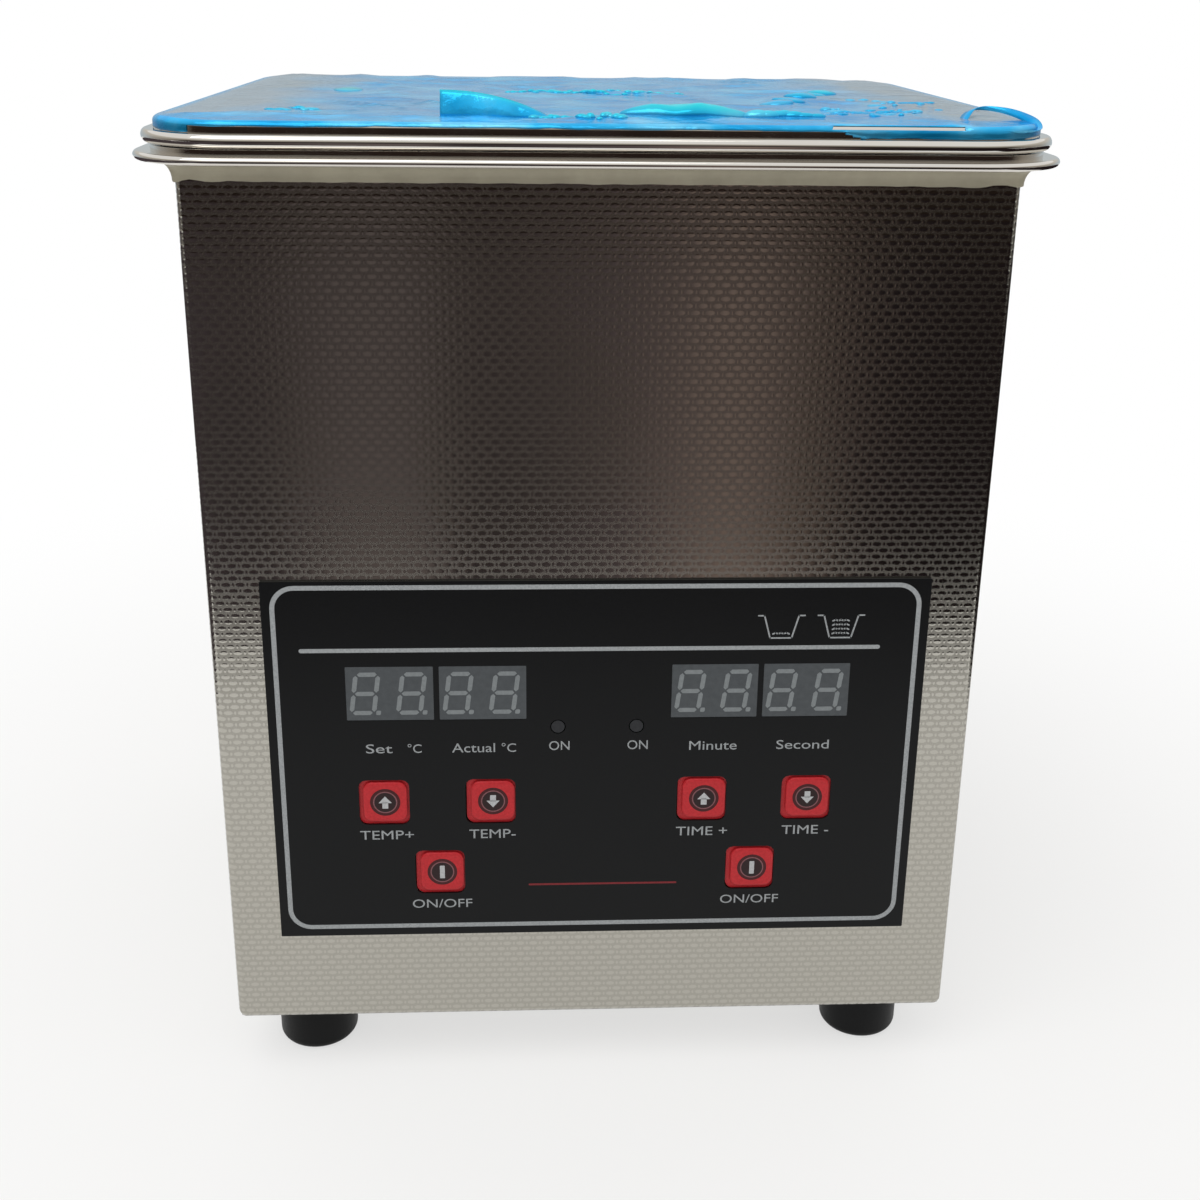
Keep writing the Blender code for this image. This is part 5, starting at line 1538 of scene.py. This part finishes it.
@dataclass(frozen=True)
class PhotoCamera:
    """A pinhole camera at the photograph's viewpoint, in a square frame of image_px."""

    image_px: float = 1200.0
    focal_px: float = 1528.6
    centre_px: Vec2 = (604.46, 519.18)
    sensor_mm: float = 36.0
    place: Vec3 = (-0.01404, -0.36143, 0.23167)
    yaw: float = 0.0518
    pitch: float = 0.3327
    roll: float = -0.0134

    def build(self) -> None:
        """Add the camera and make it the scene's own."""
        ahead = Vector(
            (
                math.sin(self.yaw) * math.cos(self.pitch),
                math.cos(self.yaw) * math.cos(self.pitch),
                -math.sin(self.pitch),
            )
        )
        level = Vector((math.cos(self.yaw), -math.sin(self.yaw), 0.0))
        down = ahead.cross(level)
        right = math.cos(self.roll) * level + math.sin(self.roll) * down
        up = math.sin(self.roll) * level - math.cos(self.roll) * down
        turn = Matrix((right, up, -ahead)).transposed()
        data = bpy.data.cameras.new("photo_camera")
        data.sensor_width = self.sensor_mm
        data.lens = self.focal_px / self.image_px * self.sensor_mm
        data.shift_x = (self.image_px / 2 - self.centre_px[0]) / self.image_px
        data.shift_y = (self.centre_px[1] - self.image_px / 2) / self.image_px
        data.clip_start = 0.01
        made = bpy.data.objects.new("photo_camera", data)
        made.matrix_world = Matrix.Translation(self.place) @ turn.to_4x4()
        bpy.context.scene.collection.objects.link(made)
        bpy.context.scene.camera = made


@dataclass
class Studio:
    """A white table in a white room, with grey cards that only reflections see."""

    floor_size: float = 8.0
    floor_glow: float = 0.62
    soft_light: float = 0.75
    card_colours: tuple[tuple[float, str], ...] = (
        (0.00, "#2A211D"),
        (0.22, "#2E2420"),
        (0.38, "#8E877D"),
        (0.62, "#A9A7A3"),
        (0.80, "#C3CCD2"),
        (1.00, "#B5C2CA"),
    )
    card_radius: float = 1.6
    card_dark_top: float = 0.12
    card_top: float = 0.75
    card_top_colour: str = "#D8D3CA"
    band_centre: Vec2 = (-0.014, 0.217)
    band_spread: float = 0.048
    band_colours: tuple[tuple[float, str], ...] = (
        (0.00, "#4C4448"),
        (0.12, "#4C4448"),
        (0.20, "#3F383B"),
        (0.29, "#6C6363"),
        (0.38, "#6C6363"),
        (0.43, "#3E3739"),
        (0.52, "#4C4446"),
        (0.62, "#5C5254"),
        (0.73, "#8C7C76"),
        (0.80, "#6C5F5C"),
        (0.87, "#2A2325"),
        (1.00, "#241D1F"),
    )
    cloths: tuple[tuple[Vec2, Vec2], ...] = (
        ((-1.2, 1.2), (-1.6, -0.312)),
        ((-1.5, -0.28), (-0.311, 1.0)),
        ((0.28, 1.5), (-0.311, 1.0)),
    )
    lamp_place: Vec3 = (-0.5, -0.7, 1.5)
    lamp_size: float = 1.2
    lamp_watts: float = 9.0

    def seen(self, tree: Tree) -> Socket:
        """Light Path factor that is 1 for camera, glossy and transmission rays.

        Args:
            tree: node tree that gets the nodes.

        Returns:
            The factor's socket.
        """
        path = add_node(tree, "ShaderNodeLightPath").outputs
        factor = path["Is Camera Ray"]
        for name in ("Is Glossy Ray", "Is Transmission Ray"):
            either = add_node(tree, "ShaderNodeMath", {0: factor, 1: path[name]}, operation="MAXIMUM")
            factor = either.outputs[0]
        return factor

    def build_world(self) -> None:
        """White to the eye and in reflections, softer as a light."""
        world = bpy.data.worlds.new("white_room")
        world.use_nodes = True
        tree = world.node_tree
        level = add_node(
            tree,
            "ShaderNodeMapRange",
            {"Value": self.seen(tree), "To Min": self.soft_light, "To Max": 1.0},
        ).outputs["Result"]
        back = tree.nodes["Background"]
        back.inputs["Color"].default_value = (1.0, 1.0, 1.0, 1.0)
        tree.links.new(level, back.inputs["Strength"])
        bpy.context.scene.world = world

    def build_floor(self) -> None:
        """A pale table that shows as white and still takes the machine's shadow."""
        material = bpy.data.materials.new("table_paper_white")
        material.use_nodes = True
        tree = material.node_tree
        plain = tree.nodes["Principled BSDF"]
        plain.inputs["Base Color"].default_value = linear("#F2F1EE")
        plain.inputs["Roughness"].default_value = 0.9
        plain.inputs["Specular IOR Level"].default_value = 0.1
        glow = add_node(tree, "ShaderNodeEmission", {"Color": (1.0, 1.0, 1.0, 1.0), "Strength": 1.0})
        place = add_node(tree, "ShaderNodeTexCoord").outputs["Object"]
        away = add_node(tree, "ShaderNodeVectorMath", {0: place}, operation="LENGTH").outputs["Value"]
        fade = add_node(
            tree,
            "ShaderNodeMapRange",
            {"Value": away, "From Min": 0.10, "From Max": 0.40, "To Min": self.floor_glow, "To Max": 1.0},
            interpolation_type="SMOOTHSTEP",
        ).outputs["Result"]
        share = add_node(tree, "ShaderNodeMath", {0: self.seen(tree), 1: fade}, operation="MULTIPLY")
        mixed = add_node(
            tree, "ShaderNodeMixShader", {0: share.outputs[0], 1: plain.outputs["BSDF"], 2: glow.outputs[0]}
        )
        tree.links.new(mixed.outputs[0], tree.nodes["Material Output"].inputs["Surface"])
        bm = bmesh.new()
        bmesh.ops.create_grid(bm, x_segments=1, y_segments=1, size=self.floor_size / 2)
        self.add_stage("table", bm, material)

    def add_stage(self, name: str, bm: Bm, material: bpy.types.Material, card: bool = False) -> None:
        """Add a stage object; a card is seen by reflections alone.

        Args:
            name: object name.
            bm: its mesh, which is freed.
            material: its material.
            card: hide it from every ray but glossy ones.
        """
        mesh = bpy.data.meshes.new(name)
        bm.to_mesh(mesh)
        bm.free()
        mesh.materials.append(material)
        made = bpy.data.objects.new(name, mesh)
        bpy.context.scene.collection.objects.link(made)
        if card:
            made.visible_camera = False
            made.visible_diffuse = False
            made.visible_shadow = False
            made.visible_transmission = False
            made.visible_volume_scatter = False

    def ramp(self, tree: Tree, factor: Socket, stops: tuple[tuple[float, str], ...]) -> Socket:
        """Turn a factor into a colour by named stops.

        Args:
            tree: node tree that gets the ramp.
            factor: place along the ramp.
            stops: place and colour of each stop.

        Returns:
            The colour's socket.
        """
        made = add_node(tree, "ShaderNodeValToRGB", {"Fac": factor})
        elements = made.color_ramp.elements
        while len(elements) < len(stops):
            elements.new(1.0)
        for element, (position, code) in zip(elements, stops):
            element.position = position
            element.color = linear(code)
        return made.outputs["Color"]

    def new_card(self, name: str) -> tuple[bpy.types.Material, bpy.types.Node]:
        """Start a card's material.

        Args:
            name: material name.

        Returns:
            The material and its emission node.
        """
        made = bpy.data.materials.new(name)
        made.use_nodes = True
        glow = add_node(made.node_tree, "ShaderNodeEmission")
        made.node_tree.links.new(glow.outputs[0], made.node_tree.nodes["Material Output"].inputs["Surface"])
        return made, glow

    def build_cards(self) -> None:
        """Grey cards round the set, dark and low in front, and banded cloths on the table round it."""
        cards, glow = self.new_card("studio_cards")
        tree = cards.node_tree
        place = add_node(tree, "ShaderNodeTexCoord").outputs["Object"]
        axes = add_node(tree, "ShaderNodeSeparateXYZ", {0: place}).outputs
        along = add_node(
            tree,
            "ShaderNodeMapRange",
            {"Value": axes["Y"], "From Min": -self.card_radius, "From Max": self.card_radius},
        ).outputs["Result"]
        height = add_node(
            tree,
            "ShaderNodeMapRange",
            {"Value": axes["Z"], "From Min": self.card_dark_top, "From Max": self.card_top},
            interpolation_type="SMOOTHSTEP",
        ).outputs["Result"]
        shade = add_node(
            tree,
            "ShaderNodeMix",
            {
                0: height,
                MIX_A: self.ramp(tree, along, self.card_colours),
                MIX_B: linear(self.card_top_colour),
            },
            data_type="RGBA",
        ).outputs[MIX_RESULT]
        tree.links.new(shade, glow.inputs["Color"])
        bm = bmesh.new()
        bmesh.ops.create_cone(
            bm, segments=96, cap_ends=False, radius1=self.card_radius, radius2=self.card_radius,
            depth=self.card_top,
        )
        bmesh.ops.translate(bm, verts=bm.verts, vec=(0.0, 0.0, self.card_top / 2))
        self.add_stage("studio_cards", bm, cards, card=True)
        cloth, glow = self.new_card("studio_cloth")
        tree = cloth.node_tree
        place = add_node(tree, "ShaderNodeTexCoord").outputs["Object"]
        turned = add_node(
            tree,
            "ShaderNodeMapping",
            {"Vector": place, "Location": (self.band_centre[1], -self.band_centre[0], 0.0),
             "Rotation": (0.0, 0.0, math.pi / 2)},
        ).outputs[0]
        angle = add_node(
            tree, "ShaderNodeTexGradient", {"Vector": turned}, gradient_type="RADIAL"
        ).outputs["Fac"]
        across = add_node(
            tree,
            "ShaderNodeMapRange",
            {"Value": angle, "From Min": 0.5 - self.band_spread, "From Max": 0.5 + self.band_spread},
        ).outputs["Result"]
        tree.links.new(self.ramp(tree, across, self.band_colours), glow.inputs["Color"])
        bm = bmesh.new()
        for (left, right), (near, far) in self.cloths:
            verts = bmesh.ops.create_grid(bm, x_segments=1, y_segments=1, size=0.5)["verts"]
            bmesh.ops.scale(bm, verts=verts, vec=(right - left, far - near, 1.0))
            bmesh.ops.translate(bm, verts=verts, vec=((left + right) / 2, (near + far) / 2, MM))
        self.add_stage("studio_cloth", bm, cloth, card=True)

    def build_lamp(self) -> None:
        """One soft lamp over the front."""
        data = bpy.data.lights.new("soft_lamp", "AREA")
        data.energy = self.lamp_watts
        data.size = self.lamp_size
        made = bpy.data.objects.new("soft_lamp", data)
        made.location = self.lamp_place
        made.rotation_mode = "QUATERNION"
        made.rotation_quaternion = (Vector((0.0, 0.0, 0.1)) - made.location).to_track_quat("-Z", "Y")
        bpy.context.scene.collection.objects.link(made)

    def build(self) -> None:
        """Build the room and set a plain view transform."""
        self.build_world()
        self.build_floor()
        self.build_cards()
        self.build_lamp()
        bpy.context.scene.view_settings.view_transform = "Standard"


def dress_cad() -> None:
    """Give every CAD node the finish of its slot."""
    for name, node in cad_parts.items():
        slot = node.data.materials[0].name
        node.data.materials.clear()
        node.data.materials.append(CAD_FINISHES[slot].material())
        LOG.info("%s: CAD node in %s", name, slot)


def main() -> None:
    """Build the camera and the studio, and then dress the machine from the case outwards."""
    logging.basicConfig(level=logging.INFO, format="%(name)s %(message)s")
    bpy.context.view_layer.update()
    PhotoCamera().build()
    Studio().build()
    dress_cad()
    Case().build()
    Rim().build()
    for node in ("foot_front_left", "foot_front_right", "foot_rear_left", "foot_rear_right"):
        Foot().build(node)
    lid = Lid()
    lid.build_tray()
    Film(lid).build()
    Panel().build()
    for name in DISPLAYS:
        Display().build(name)
    for name, spec in KEYS.items():
        Key().build(name, spec)
    Inlet().build()


if __name__ == "__main__":
    main()
